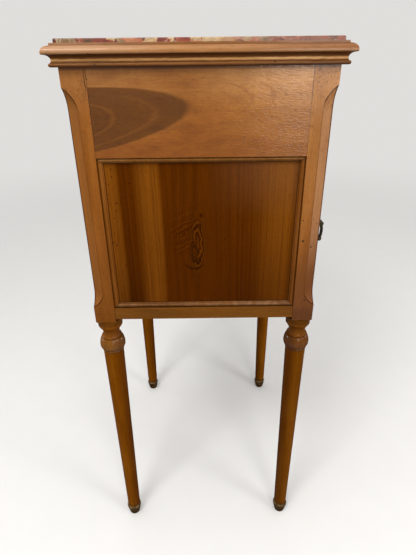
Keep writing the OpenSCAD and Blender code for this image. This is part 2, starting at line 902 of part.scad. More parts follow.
// Back plate with its two ears; the pin is at the origin of x and z, the wood at y = front_y
module pull_plate(h, keyhole) {
    difference() {
        union() {
            translate([0, front_y, 0]) rotate([90, 0, 0]) linear_extrude(height = plate_t) plate_2d(h);
            for (s = [-1, 1]) scale_x(s) translate([eye_l / 2 + ear_gap, front_y - pull_out, 0]) {
                rotate([0, 90, 0]) cylinder(r = ear_r, h = ear_t);
                box([0, 0, -ear_r], [ear_t, pull_out - plate_t + eps, ear_r]);
            }
        }
        translate([-plate_w, front_y - pull_out, 0]) rotate([0, 90, 0])
            cylinder(r = pull_pin_r + fit / 2, h = 2 * plate_w);
        for (z = screw_zs(h)) translate([0, front_y - plate_t - over, z])
            rotate([-90, 0, 0]) cylinder(r = pin_screw_r + screw_fit, h = plate_t + 2 * over);
        if (keyhole) translate([0, front_y + over, lock_z - door_pull_z])
            rotate([90, 0, 0]) linear_extrude(height = plate_t + 2 * over) keyhole_2d();
    }
}

module pull_pin() {
    l = eye_l + 2 * ear_gap + 2 * ear_t;
    translate([-l / 2 - 0.4, front_y - pull_out, 0]) rotate([0, 90, 0]) cylinder(r = pull_pin_r, h = l + 0.8);
}

// Drop: an eye on the pin, a bowed stem, and a knob
module pull_drop() {
    chord = drop_l - drop_end_r - 1;
    bow_r = (chord * chord / 4 + drop_bulge * drop_bulge) / (2 * drop_bulge);
    half = asin(chord / 2 / bow_r);
    translate([0, front_y - pull_out, 0]) difference() {
        union() {
            translate([-eye_l / 2, 0, 0]) rotate([0, 90, 0]) cylinder(r = eye_r, h = eye_l);
            translate([0, bow_r - drop_bulge, -chord / 2]) rotate([0, 90, 0]) rotate([0, 0, 270 - half])
                rotate_extrude(angle = 2 * half) translate([bow_r, 0]) circle(r = drop_r, $fn = 32);
            translate([0, 0.4, drop_end_r - drop_l]) sphere(r = drop_end_r, $fn = 48);
        }
        translate([-eye_l, 0, 0]) rotate([0, 90, 0]) cylinder(r = pull_pin_r + pin_fit, h = 2 * eye_l);
    }
}

// Round-headed screws through a pull's plate
module pull_screws(h) {
    for (z = screw_zs(h)) translate([0, front_y - plate_t, z]) {
        rotate([-90, 0, 0]) translate([0, 0, -eps]) cylinder(r = pin_screw_r, h = plate_t + pin_screw_l);
        intersection() {
            translate([0, pin_screw_head_r * 0.4, 0]) sphere(r = pin_screw_head_r * 1.08, $fn = 32);
            box([-4, -4, -4], [4, 0, 4]);
        }
    }
}

module at_drawer_pull() {
    translate([0, 0, drawer_pull_z]) children();
}

module at_door_pull() {
    translate([pull_x, 0, door_pull_z]) children();
}

module drawer_pull_plate() {
    color(bronze) at_drawer_pull() pull_plate(drawer_plate_h, false);
}

module drawer_pull_pin() {
    color(bronze) at_drawer_pull() pull_pin();
}

module drawer_pull_drop() {
    color(bronze) at_drawer_pull() pull_drop();
}

module drawer_pull_screws() {
    color(bronze) at_drawer_pull() pull_screws(drawer_plate_h);
}

module door_pull_plate() {
    color(bronze) at_door_pull() pull_plate(door_plate_h, true);
}

module door_pull_pin() {
    color(bronze) at_door_pull() pull_pin();
}

module door_pull_drop() {
    color(bronze) at_door_pull() pull_drop();
}

module door_pull_screws() {
    color(bronze) at_door_pull() pull_screws(door_plate_h);
}

// ---------------------------------------------------------------- door

// Upright stile at x from 0 to stile_w, its inner edge at x = stile_w
module stile_blank() {
    difference() {
        box([0, front_y, door_z0], [stile_w, door_back_y, door_z1]);
        box(
            [stile_w - groove_deep - fit, front_y + panel_in - fit, door_open_z[0] - groove_deep],
            [stile_w + over, front_y + panel_in + panel_t + fit, door_open_z[1] + groove_deep]
        );
        for (span = [[door_z0, door_open_z[0]], [door_open_z[1], door_z1]]) box(
            [stile_w - tenon_l - fit, front_y + panel_in - fit, span[0] + tenon_shoulder * 2 - fit],
            [stile_w + over, front_y + panel_in + panel_t + fit, span[1] - tenon_shoulder * 2 + fit]
        );
    }
}

module door_stile_left() {
    color(walnut) difference() {
        translate([-door_w / 2, 0, 0]) stile_blank();
        translate([pull_x, 0, door_pull_z]) pull_holes(door_plate_h);
        translate([pull_x, door_back_y + over, lock_z]) rotate([90, 0, 0])
            linear_extrude(height = door_t + 2 * over) keyhole_2d();
        lock_screw_places() cylinder(r = screw_r + screw_fit, h = screw_l + 0.3);
    }
}

module door_stile_right() {
    color(walnut) difference() {
        mirror([1, 0, 0]) translate([-door_w / 2, 0, 0]) stile_blank();
        for (z = hinge_zs) translate([hinge_x, hinge_y, z]) mirror([1, 0, 0]) {
            leaf_recess();
            for (s = [-1, 1]) translate([leaf_gap, hinge_screw_y, s * hinge_screw_z])
                rotate([0, 90, 0]) cylinder(r = screw_r + screw_fit, h = screw_l + 2 * screw_fit);
        }
    }
}

module door_rail(z0, z1, groove_z0, groove_z1) {
    color(walnut) at_front() difference() {
        union() {
            box([-door_open_w / 2, 0, z0], [door_open_w / 2, door_t, z1]);
            for (s = [-1, 1]) scale_x(s) box(
                [door_open_w / 2 - eps, panel_in, z0 + tenon_shoulder * 2],
                [door_open_w / 2 + tenon_l, panel_in + panel_t, z1 - tenon_shoulder * 2]
            );
        }
        panel_groove(door_open_w, groove_z0, groove_z1);
    }
}

module door_rail_top() {
    door_rail(door_open_z[1], door_z1, door_open_z[1] - over, door_open_z[1] + groove_deep + fit);
}

module door_rail_bottom() {
    door_rail(door_z0, door_open_z[0], door_open_z[0] - groove_deep - fit, door_open_z[0] + over);
}

module door_panel() {
    color(walnut_dark) at_front() panel(door_open_w, door_open_z[0], door_open_z[1]);
}

module door_moulding() {
    color(walnut_dark) at_front() mouldings(door_open_w, door_open_z[0], door_open_z[1]);
}

// ---------------------------------------------------------------- hinges

// Recess for a leaf in a post, or mirrored in the door; the pin is at the origin
module leaf_recess() {
    box([-leaf_gap, 0, -hinge_h / 2 - fit], [leaf_gap + leaf_t + fit / 2, leaf_reach + fit, hinge_h / 2 + fit]);
}

// Height of the knuckles: the middle one belongs to the door
knuckle_h = hinge_h / 3;
knuckle_gap = 0.2;

// Leaf with its knuckles, on the +x side of the pin. zs lists the [lower, upper] ends of its
// own knuckles, others those of the mating leaf.
module leaf(zs, others) {
    difference() {
        union() {
            box([leaf_gap, 0, -hinge_h / 2], [leaf_gap + leaf_t, leaf_reach, hinge_h / 2]);
            for (z = zs) translate([0, 0, z[0]]) cylinder(r = knuckle_r, h = z[1] - z[0]);
        }
        for (z = others) translate([0, 0, z[0] - knuckle_gap])
            cylinder(r = knuckle_cut_r, h = z[1] - z[0] + 2 * knuckle_gap);
        translate([0, 0, -hinge_h]) cylinder(r = hinge_pin_r + pin_fit, h = 2 * hinge_h);
        for (s = [-1, 1]) translate([leaf_gap - eps, hinge_screw_y, s * hinge_screw_z]) rotate([0, 90, 0]) {
            cylinder(r1 = screw_head_r + fit, r2 = screw_r + fit, h = screw_head_h + 2 * eps);
            cylinder(r = screw_r + fit, h = leaf_t + over);
        }
    }
}

outer_knuckles = [[-hinge_h / 2, -knuckle_h / 2], [knuckle_h / 2, hinge_h / 2]];
middle_knuckle = [[-knuckle_h / 2 + knuckle_gap, knuckle_h / 2 - knuckle_gap]];

module at_hinge(z) {
    translate([hinge_x, hinge_y, z]) children();
}

module hinge_post_leaf(z) {
    color(brass) at_hinge(z) leaf(outer_knuckles, middle_knuckle);
}

module hinge_door_leaf(z) {
    color(brass) at_hinge(z) mirror([1, 0, 0]) leaf(middle_knuckle, outer_knuckles);
}

module hinge_pins() {
    color(brass) for (z = hinge_zs) at_hinge(z) {
        translate([0, 0, -hinge_h / 2 - 0.1]) cylinder(r = hinge_pin_r, h = hinge_h + 0.2);
        for (s = [-1, 1]) translate([0, 0, s * (hinge_h / 2 + 0.1 + pin_head_h / 2)])
            cylinder(r = pin_head_r, h = pin_head_h, center = true);
    }
}

// Countersunk screw, its head at the origin and its shank along +z
module screw() {
    cylinder(r1 = screw_head_r, r2 = screw_r, h = screw_head_h);
    cylinder(r = screw_r, h = screw_l);
}

module hinge_screws() {
    for (s = [-1, 1]) translate([leaf_gap, hinge_screw_y, s * hinge_screw_z]) rotate([0, 90, 0]) screw();
}

module hinge_post_screws() {
    color(steel) for (z = hinge_zs) at_hinge(z) hinge_screws();
}

// Screws of the door: those of the hinges and, alike, those of the lock
module door_screws() {
    color(steel) {
        for (z = hinge_zs) at_hinge(z) mirror([1, 0, 0]) hinge_screws();
        lock_screw_places() screw();
    }
}

// ---------------------------------------------------------------- lock

// Where the lock's screws start, pointing into the door
module lock_screw_places() {
    for (sz = [-1, 1]) for (x = [lock_x0 + 4, lock_x0 + lock_w - 4])
        translate([x, door_back_y + lock_wall, lock_z + sz * (lock_h / 2 - 4)]) rotate([90, 0, 0]) children();
}

module lock_case() {
    z0 = lock_z - lock_h / 2;
    z1 = lock_z + lock_h / 2;
    y1 = door_back_y + lock_t;
    x1 = lock_x0 + lock_w;
    guide = [bolt_guide_x, bolt_guide_x + lock_wall];
    color(brass) difference() {
        union() {
            box([lock_x0, door_back_y, z0], [x1, door_back_y + lock_wall, z1]);
            box([lock_x0, door_back_y, z0 + lock_rim], [x1, y1, z1 - lock_rim]);
        }
        for (span = [[lock_x0 + lock_wall, guide[0]], [guide[1], x1 - lock_wall]]) box(
            [span[0], door_back_y - over, z0 + lock_rim + lock_wall],
            [span[1], y1 - lock_wall, z1 - lock_rim - lock_wall]
        );
        box(
            [lock_x0 - over, bolt_y - run_gap, bolt_z0 - run_gap],
            [guide[1] + eps, bolt_y + bolt_t + run_gap, bolt_z0 + bolt_h + run_gap]
        );
        lock_screw_places() translate([0, 0, -eps]) {
            cylinder(r1 = screw_head_r + fit, r2 = screw_r + fit, h = screw_head_h + 2 * eps);
            cylinder(r = screw_r + fit, h = lock_wall + over);
        }
    }
}

module lock_bolt() {
    color(steel) translate([bolt_x0, bolt_y, bolt_z0]) cube([bolt_l, bolt_t, bolt_h]);
}

// ---------------------------------------------------------------- the nodes

marble_top();
sub_top();
cornice_front();
cornice_back();
cornice_side(-1);  // cornice_left
cornice_side(1);  // cornice_right
cornice_dowels();
post_front_left();
post_front_right();
back_post(-1);  // post_back_left
back_post(1);  // post_back_right
side_top_rail(-1);  // side_top_rail_left
side_top_rail(1);  // side_top_rail_right
side_low_rail(-1);  // side_low_rail_left
side_low_rail(1);  // side_low_rail_right
side_panel(-1);  // side_panel_left
side_panel(1);  // side_panel_right
side_moulding(-1);  // side_moulding_left
side_moulding(1);  // side_moulding_right
back_top_rail();
back_low_rail();
back_panel();
front_top_rail();
front_middle_rail();
front_low_rail();
bottom_board();
dust_board();
drawer_runner(-1);  // drawer_runner_left
drawer_runner(1);  // drawer_runner_right
drawer_kicker(-1);  // drawer_kicker_left
drawer_kicker(1);  // drawer_kicker_right
drawer_stops();
drawer_front();
drawer_side(-1);  // drawer_side_left
drawer_side(1);  // drawer_side_right
drawer_back();
drawer_bottom();
drawer_pull_plate();
drawer_pull_pin();
drawer_pull_drop();
drawer_pull_screws();
door_stile_left();
door_stile_right();
door_rail_top();
door_rail_bottom();
door_panel();
door_moulding();
door_pull_plate();
door_pull_pin();
door_pull_drop();
door_pull_screws();
hinge_post_leaf(hinge_zs[1]);  // hinge_upper_post_leaf
hinge_post_leaf(hinge_zs[0]);  // hinge_lower_post_leaf
hinge_door_leaf(hinge_zs[1]);  // hinge_upper_door_leaf
hinge_door_leaf(hinge_zs[0]);  // hinge_lower_door_leaf
hinge_pins();
hinge_post_screws();
door_screws();
lock_case();
lock_bolt();
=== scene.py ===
import math
import random

import bpy
from mathutils import Matrix, Vector

bpy.context.scene.view_settings.view_transform = "Standard"

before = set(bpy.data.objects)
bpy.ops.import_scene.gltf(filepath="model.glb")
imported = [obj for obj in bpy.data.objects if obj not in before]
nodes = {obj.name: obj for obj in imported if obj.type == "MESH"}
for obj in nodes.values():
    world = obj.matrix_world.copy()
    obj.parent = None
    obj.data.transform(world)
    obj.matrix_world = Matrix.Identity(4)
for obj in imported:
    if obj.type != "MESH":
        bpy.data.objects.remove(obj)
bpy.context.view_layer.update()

# ---------------------------------------------------------------- camera
# It stands on the cupboard's left side, looking along +X and down. Fitted to the photograph's outline.
CAMERA_PLACE = (-0.77203, -0.00475, 0.83907)
PITCH, YAW, ROLL = 0.479625, 0.003584, 0.010602
FOCAL_PX, IMAGE_HIGH_PX = 441.837, 555
SENSOR_MM = 36


def add_camera():
    ahead = Vector((math.cos(YAW) * math.cos(PITCH), -math.sin(YAW) * math.cos(PITCH), -math.sin(PITCH)))
    level_right = Vector((-math.sin(YAW), -math.cos(YAW), 0))
    level_down = ahead.cross(level_right)
    right = level_right * math.cos(ROLL) + level_down * math.sin(ROLL)
    down = level_down * math.cos(ROLL) - level_right * math.sin(ROLL)
    pose = Matrix((right, -down, -ahead)).transposed().to_4x4()
    pose.translation = Vector(CAMERA_PLACE)
    data = bpy.data.cameras.new("camera")
    data.sensor_width = SENSOR_MM
    data.lens = SENSOR_MM * FOCAL_PX / IMAGE_HIGH_PX
    data.clip_start = 0.05
    camera = bpy.data.objects.new("camera", data)
    bpy.context.scene.collection.objects.link(camera)
    camera.matrix_world = pose
    bpy.context.scene.camera = camera


add_camera()


# ---------------------------------------------------------------- making materials
def srgb(r, g, b):
    """A colour written as it looks on a screen, 0 to 255, as Blender's linear numbers."""
    parts = (r / 255, g / 255, b / 255)
    linear = [v / 12.92 if v <= 0.04045 else ((v + 0.055) / 1.055) ** 2.4 for v in parts]
    return (*linear, 1)


def tint(colour, k):
    return (colour[0] * k, colour[1] * k, colour[2] * k, 1)


def evenly(tones):
    """Colour stops at even distances, from 0 to 1."""
    return [(i / (len(tones) - 1), tone) for i, tone in enumerate(tones)]


class Paint:
    """A material being made. The methods add shader nodes and return their output sockets.
    Places are Object coordinates, which are the row frame's metres and stick to a moving piece."""

    def __init__(self, name):
        self.material = bpy.data.materials.new(name)
        self.material.use_nodes = True
        self.tree = self.material.node_tree
        self.shader = self.tree.nodes["Principled BSDF"]
        self.place = self.add("ShaderNodeTexCoord").outputs["Object"]

    def add(self, kind, **settings):
        node = self.tree.nodes.new(kind)
        for key, value in settings.items():
            setattr(node, key, value)
        return node

    def plug(self, socket, value):
        if isinstance(value, bpy.types.NodeSocket):
            self.tree.links.new(value, socket)
        else:
            socket.default_value = value

    def calc(self, operation, *values, clamp=False):
        node = self.add("ShaderNodeMath", operation=operation, use_clamp=clamp)
        for socket, value in zip(node.inputs, values):
            self.plug(socket, value)
        return node.outputs[0]

    def times(self, a, b, clamp=False):
        return self.calc("MULTIPLY", a, b, clamp=clamp)

    def times_plus(self, a, b, c):
        return self.calc("MULTIPLY_ADD", a, b, c)

    def minus(self, a, b):
        return self.calc("SUBTRACT", a, b)

    def size(self, a):
        return self.calc("ABSOLUTE", a)

    def least(self, a, b):
        return self.calc("MINIMUM", a, b)

    def most(self, a, b):
        return self.calc("MAXIMUM", a, b)

    def sum(self, *pairs):
        """Adds up (value, weight) pairs."""
        total = None
        for value, weight in pairs:
            total = self.calc("MULTIPLY_ADD", value, weight, 0.0 if total is None else total)
        return total

    def split(self, vector):
        node = self.add("ShaderNodeSeparateXYZ")
        self.plug(node.inputs[0], vector)
        return node.outputs

    def join(self, x, y, z):
        node = self.add("ShaderNodeCombineXYZ")
        for socket, value in zip(node.inputs, (x, y, z)):
            self.plug(socket, value)
        return node.outputs[0]

    def mapped(self, vector, offset, scale):
        node = self.add("ShaderNodeMapping")
        self.plug(node.inputs["Vector"], vector)
        self.plug(node.inputs["Location"], offset)
        self.plug(node.inputs["Scale"], scale)
        return node.outputs[0]

    def noise(self, vector, scale, detail=2.0, roughness=0.5, distortion=0.0):
        node = self.add("ShaderNodeTexNoise")
        self.plug(node.inputs["Vector"], vector)
        keys = ("Scale", "Detail", "Roughness", "Distortion")
        for key, value in zip(keys, (scale, detail, roughness, distortion)):
            self.plug(node.inputs[key], value)
        return node.outputs[0]

    def lines(self, value, scale, detail=2.0, roughness=0.5):
        """Noise that depends on one number, so that it draws lines where that number is the same."""
        node = self.add("ShaderNodeTexNoise", noise_dimensions="1D")
        self.plug(node.inputs["W"], value)
        for key, v in (("Scale", scale), ("Detail", detail), ("Roughness", roughness)):
            self.plug(node.inputs[key], v)
        return node.outputs[0]

    def cells(self, vector, scale, feature="F1"):
        node = self.add("ShaderNodeTexVoronoi", feature=feature)
        self.plug(node.inputs["Vector"], vector)
        self.plug(node.inputs["Scale"], scale)
        return node.outputs

    def span(self, value, low, high, to_low=0.0, to_high=1.0, smooth=False):
        """Carries low..high over to to_low..to_high, held at both ends."""
        node = self.add("ShaderNodeMapRange", interpolation_type="SMOOTHSTEP" if smooth else "LINEAR")
        for socket, v in zip(node.inputs, (value, low, high, to_low, to_high)):
            self.plug(socket, v)
        return node.outputs[0]

    def ramp(self, value, stops):
        node = self.add("ShaderNodeValToRGB")
        ramp = node.color_ramp
        while len(ramp.elements) < len(stops):
            ramp.elements.new(0.5)
        for element, (position, colour) in zip(ramp.elements, stops):
            element.position = position
            element.color = colour
        self.plug(node.inputs[0], value)
        return node.outputs[0]

    def blend(self, how, factor, a, b):
        node = self.add("ShaderNodeMix", data_type="RGBA", blend_type=how)
        for index, value in ((0, factor), (6, a), (7, b)):
            self.plug(node.inputs[index], value)
        return node.outputs[2]

    def stain(self, factor, colour, by):
        """Multiplies a colour, as a thin stain does."""
        return self.blend("MULTIPLY", factor, colour, by)

    def cover(self, factor, colour, over):
        """Lays one colour over another."""
        return self.blend("MIX", factor, colour, over)

    def hollows(self, distance):
        """1 in the open, less in corners and under edges."""
        node = self.add("ShaderNodeAmbientOcclusion", samples=8)
        node.inputs["Distance"].default_value = distance
        return node.outputs["AO"]

    def edges(self, distance):
        """1 on faces, less along the piece's own outer edges."""
        node = self.add("ShaderNodeAmbientOcclusion", samples=6, inside=True, only_local=True)
        node.inputs["Distance"].default_value = distance
        return node.outputs["AO"]

    def squarely(self):
        """1 where a surface is seen squarely, less where it is seen at a slant. For gloss alone."""
        node = self.add("ShaderNodeLayerWeight")
        node.inputs["Blend"].default_value = 0.5
        return self.span(node.outputs["Facing"], 0.2, 0.7, 1.0, 0.08)

    def distance(self, point, place=None):
        node = self.add("ShaderNodeVectorMath", operation="DISTANCE")
        self.plug(node.inputs[0], self.place if place is None else place)
        node.inputs[1].default_value = point
        return node.outputs["Value"]

    def bump(self, height, strength, distance, normal=None):
        node = self.add("ShaderNodeBump")
        node.inputs["Strength"].default_value = strength
        node.inputs["Distance"].default_value = distance
        self.plug(node.inputs["Height"], height)
        if normal is not None:
            self.plug(node.inputs["Normal"], normal)
        return node.outputs[0]

    def set(self, **values):
        for key, value in values.items():
            self.plug(self.shader.inputs[key.replace("_", " ")], value)


# ---------------------------------------------------------------- wood
AXES = "XYZ"
# Measures of the part, in metres. Halves of the case's width and depth, and how far from the middle
# the side rails and the cross rails meet the posts:
HALF_W, HALF_D, RAIL_END, CROSS_END = 0.203, 0.165, 0.1345, 0.1725
# The side panel's face, and its opening's lower and upper edge
PANEL_X, OPENING_LOW, OPENING_HIGH = -0.197, 0.4925, 0.7155
# How wide a moulding's lower length looks before the panel begins, and where the bead on it starts
MOULDING_WIDE, BEAD_START = 0.0076, 0.0042
# The posts: lower end of the square block, the chamfer's leg and its ends, and its two run-outs
# (length, height at which it starts, direction); the leg's middle lies so far inside the post's face
BLOCK_LOW, CHAMFER, CHAMFER_LOW, CHAMFER_HIGH = 0.467, 0.016, 0.4955, 0.798
RUN_OUTS = ((0.028, 0.7705, 1), (0.023, 0.518, -1))
LEG_INSIDE = 0.0174
# The feet's bare pads: upper edge and rim
PAD_HIGH, PAD_RIM = 0.025, 0.0215
# The cornice's lower and upper edge, the top of its bead, and the height just under its nose
CORNICE_LOW, CORNICE_HIGH, BEAD_HIGH, NOSE_LOW = 0.8205, 0.8455, 0.825, 0.833

# Small spots and worm holes on the left side, as (x, y, z, radius) in metres; their rows are in millimetres
RAIL_SPOTS = [(-HALF_W, 0.001 * y, 0.001 * z, 0.001 * r) for y, z, r in (
    (-101.8, 789.1, 0.9), (-119.1, 789.4, 0.8), (-119, 747.5, 0.7), (-54.1, 739.9, 0.8), (-70.7, 759.8, 0.7),
    (134, 807.3, 1.2),
)]
POST_HOLES = [tuple(0.001 * v for v in hole) for hole in (
    (-203, -139.7, 598.3, 1.7), (-199.3, -152.7, 587.8, 1.8), (-200.2, -151.8, 629.9, 1.1),
    (-193.6, -158.4, 620.8, 0.9), (-203, -137.4, 628.9, 0.9), (-203, -150.2, 503.2, 1.2),
    (-192.9, -159.1, 553, 1.1),
)]
PANEL_HOLES = [(PANEL_X, 0.001 * y, 0.001 * z, 0.001 * r) for y, z, r in (
    (118.5, 700.2, 0.8), (118.1, 690.4, 0.8), (123.1, 679.5, 0.8), (117.1, 675, 0.6), (124.6, 666.9, 0.7),
    (127.3, 660.5, 0.7), (115.1, 654.4, 1.1), (117, 643, 0.8), (120.2, 633.2, 0.9), (125.5, 596.5, 0.9),
    (121.2, 593.2, 1.1), (110.7, 562.7, 0.8), (95.7, 681.2, 0.9), (101.5, 663.1, 0.7), (89.7, 604.5, 0.6),
    (-30.5, 599.9, 0.8), (-94.5, 552.4, 0.7),
)]
# Small black nicks along the side cornice's nose and bead: (y, z)
NICKS = [(0.1252, 0.8343), (0.1203, 0.8234), (-0.0862, 0.8243)]
# The colour of soiling and painted shade in corners and dark lines
DIRT_AND_SHADE = srgb(46, 20, 4)
AMBER = (1.0, 0.6, 0.3, 1)
HOLE = srgb(24, 12, 6)


def grain(p, axis, seed):
    """Grain along one axis: broad bands, streaks and fine lines, each about 0 to 1, and pores."""
    rng = random.Random(seed)
    offset = tuple(rng.uniform(-9, 9) for _ in range(3))
    k = AXES.index(axis)
    scale = [1.0, 1.0, 1.0]
    scale[k] = 1 / 13
    vec = p.mapped(p.place, offset, tuple(scale))
    scale[k] = 1 / 26
    long_vec = p.mapped(p.place, offset, tuple(scale))
    broad = p.span(p.noise(vec, 26, 2, 0.5, 0.5), 0.3, 0.7)
    streak = p.span(p.noise(vec, 110, 3, 0.6, 0.4), 0.32, 0.68)
    fine = p.span(p.noise(long_vec, 620, 2, 0.6), 0.3, 0.7)
    pores = p.span(p.noise(vec, 1500, 1, 0.5), 0.6, 0.72)
    cloud = p.span(p.noise(p.place, 9, 2, 0.5), 0.3, 0.7)
    scale[k] = 1 / 3.5
    p.ripple = p.noise(p.mapped(p.place, offset, tuple(scale)), 560, 2, 0.6)
    return broad, streak, fine, pores, cloud


def finish_wood(p, colour, streak, fine, pores, dirt=0.75, wear=0.3, rough=(0.36, 0.5), coat=0.1,
                peel=0.25, reach=0.005, holes=(), lines=None, varnish=0.3, polish=0.18, shadow_and_dirt_under_cornice=False):
    """Pores, worm holes, soiling and painted shade in the corners and in given dark lines, worn edges, and
    amber varnish over them. Soiling and painted shade lie within reach of a corner; peel is the varnish's
    ripple, polish the coat's roughness.
    Wood right under the cornice can get a darker band, a painted shadow with some soiling."""
    colour = p.stain(p.times(pores, 0.4), colour, srgb(120, 84, 60))
    pits = None
    for x, y, z, r in holes:
        pit = p.span(p.distance((x, y, z)), r * 0.75, r * 1.15, 1.0, 0.0)
        pits = pit if pits is None else p.most(pits, pit)
    if pits is not None:
        colour = p.cover(p.times(pits, 0.92), colour, HOLE)
    # A painted shadow, with some soiling, right under the cornice
    if shadow_and_dirt_under_cornice:
        high = p.span(p.split(p.place)[2], 0.8155, 0.8195, 0.0, 0.95, smooth=True)
        colour = p.stain(high, colour, srgb(176, 154, 138))
    # Darker within reach of a corner and under edges: soiling and painted shade together, with the given
    # dark lines
    open_air = p.hollows(reach)
    darkening = p.times(p.span(open_air, 0.35, 0.95, 1.0, 0.0, smooth=True), dirt, clamp=True)
    if lines is not None:
        darkening = p.most(darkening, lines)
    colour = p.cover(darkening, colour, DIRT_AND_SHADE)
    worn = p.times(p.span(p.edges(0.0016), 0.35, 0.9, 1.0, 0.0),
                   p.span(p.noise(p.place, 60, 3), 0.35, 0.65, 0.2, 1.0))
    colour = p.blend("SOFT_LIGHT", p.times(worn, wear, clamp=True), colour, srgb(255, 226, 180))
    square = p.squarely()
    height = p.sum((fine, 0.35), (streak, 0.2), (pores, -0.6))
    if pits is not None:
        height = p.sum((height, 1.0), (pits, -3.0))
    normal = p.bump(height, 0.22, 0.0004, p.bump(p.ripple, peel * 0.6, 0.0006))
    dull = p.calc("ADD", p.span(streak, 0, 1, rough[1], rough[0]), p.times(darkening, 0.25))
    p.set(Base_Color=colour, Roughness=dull, Normal=normal,
          Specular_IOR_Level=p.times(square, varnish), Specular_Tint=AMBER,
          Coat_Weight=p.times(square, coat), Coat_Roughness=polish,
          Coat_Normal=p.bump(p.ripple, peel, 0.0006))
    return p.material


def wood(name, axis, tones, seed, contrast=1.0, end=None, **finish):
    """Plain sawn wood; tones go from the darkest bands to the lightest. End is how far from the middle
    a rail meets its posts."""
    p = Paint(name)
    broad, streak, fine, pores, cloud = grain(p, axis, seed)
    c = contrast
    tone = p.sum((broad, 0.34 * c), (streak, 0.26 * c), (fine, 0.16 * c), (cloud, 0.24 * c))
    tone = p.calc("ADD", tone, 0.5 - 0.5 * c, clamp=True)
    colour = p.ramp(tone, evenly(tones))
    if end:
        finish["lines"] = joint_line(p, p.split(p.place)[AXES.index(axis)], end)
    return finish_wood(p, colour, streak, fine, pores, **finish)


# Tones of each wood, from its darkest bands to its lightest
GOLD = [srgb(116, 68, 22), srgb(148, 93, 40), srgb(170, 112, 56)]
POST = [srgb(106, 58, 10), srgb(141, 84, 28), srgb(168, 108, 46)]
PALE_TOP_POST = [srgb(138, 86, 38), srgb(168, 114, 62), srgb(192, 138, 84)]
# The low rails' tones are darker in part as painted shade, low down
LOW_RAIL = [srgb(76, 42, 4), srgb(104, 61, 12), srgb(126, 79, 26)]
CORNICE = [srgb(116, 72, 32), srgb(154, 105, 58), srgb(188, 138, 90)]
# The legs' tones are darker in part as painted shade, low down
LEG = [srgb(97, 52, 1), srgb(132, 76, 4), srgb(158, 99, 17)]
BEAD = [srgb(84, 42, 4), srgb(120, 68, 14), srgb(150, 92, 34)]
BROWN = [srgb(60, 24, 0), srgb(86, 40, 0), srgb(116, 62, 10)]
OAK = [srgb(132, 98, 60), srgb(164, 128, 84), srgb(190, 156, 110)]


# The upper side rail's dark tongue, and the paler lines in it
TONGUE, TONGUE_LINE = srgb(87, 47, 2), srgb(103, 59, 10)


def tongue_rail(name, seed):
    """Upper side rail: a dark tongue of heartwood comes in from the back, pale sapwood round it."""
    p = Paint(name)
    _, streak, fine, pores, cloud = grain(p, "Y", seed)
    _, y, z = p.split(p.place)
    wobble = p.noise(p.mapped(p.place, (seed, 0, 0), (1, 0.35, 1)), 42, 3, 0.6)
    # The tongue is a parabola: soft runs along it from its tip, t across it, s is 0 on its outline
    soft = p.calc("ADD", p.times_plus(p.minus(wobble, 0.5), 0.014, y), -0.0162)
    t = p.minus(p.times_plus(y, 0.117, z), 0.7766)
    flat = p.times_plus(soft, -0.031, 0.0155)
    s = p.minus(soft, p.calc("DIVIDE", p.times(t, t), flat))
    outside = p.ramp(p.span(y, -0.14, 0.14), [
        (0.0, srgb(152, 99, 46)), (0.3, srgb(146, 91, 36)),
        (0.55, srgb(133, 78, 22)), (1.0, srgb(148, 96, 46)),
    ])
    low = p.times(p.span(z, 0.715, 0.785, 1.0, 0.0, smooth=True), p.span(y, -0.1, -0.02, 0.6, 0.92))
    outside = p.cover(low, outside, srgb(121, 65, 8))
    # A painted highlight: paler towards the upper front end
    pale = p.times(p.span(z, 0.77, 0.808, smooth=True), p.span(y, 0.02, -0.1, 0.12, 0.9))
    outside = p.cover(pale, outside, srgb(178, 128, 78))
    inside = p.ramp(p.span(s, -0.01, 0.12), [((depth + 0.01) / 0.13, tone) for depth, tone in (
        (-0.001, TONGUE_LINE), (0.002, TONGUE), (0.03, TONGUE), (0.04, TONGUE_LINE),
        (0.046, TONGUE), (0.083, TONGUE), (0.089, TONGUE_LINE), (0.095, TONGUE),
    )])
    over = p.times(p.span(t, 0.0, 0.03, smooth=True), 0.5)
    inside = p.cover(over, inside, srgb(102, 60, 20))
    colour = p.cover(p.span(s, -0.0075, 0.0035, smooth=True), outside, inside)
    # Faint contours further out, seen only round their noses
    for far, strong in ((0.105, 0.32), (0.077, 0.27), (0.05, 0.2)):
        off = p.size(p.calc("ADD", s, far))
        nose = p.times(p.span(off, 0.0, 0.004, strong, 0.0, smooth=True),
                       p.span(p.size(t), 0.012, 0.028, 1.0, 0.0, smooth=True))
        colour = p.cover(nose, colour, srgb(132, 72, 36))
    contour = p.span(p.lines(s, 150, 3, 0.6), 0.3, 0.7)
    mottle = p.noise(p.mapped(p.place, (seed, 2, 0), (1, 0.45, 1)), 75, 4, 0.65)
    colour = p.stain(p.span(s, 0.0, 0.01, 1.0, 0.8), colour, p.ramp(mottle, [
        (0.32, (0.86, 0.8, 0.72, 1)), (0.5, (1.02, 1.0, 0.98, 1)), (0.68, (1.14, 1.2, 1.25, 1))]))
    shade = p.sum((contour, 0.2), (fine, 0.28), (streak, 0.22), (cloud, 0.3))
    shades = p.ramp(shade, [(0.15, (0.78, 0.74, 0.7, 1)), (0.85, (1.14, 1.14, 1.12, 1))])
    colour = p.stain(1.0, colour, shades)
    return finish_wood(p, colour, streak, fine, pores, rough=(0.32, 0.42), coat=0.45, peel=0.6,
                       varnish=0.22, polish=0.13, dirt=0.3, holes=RAIL_SPOTS, shadow_and_dirt_under_cornice=True,
                       lines=joint_line(p, y, RAIL_END))


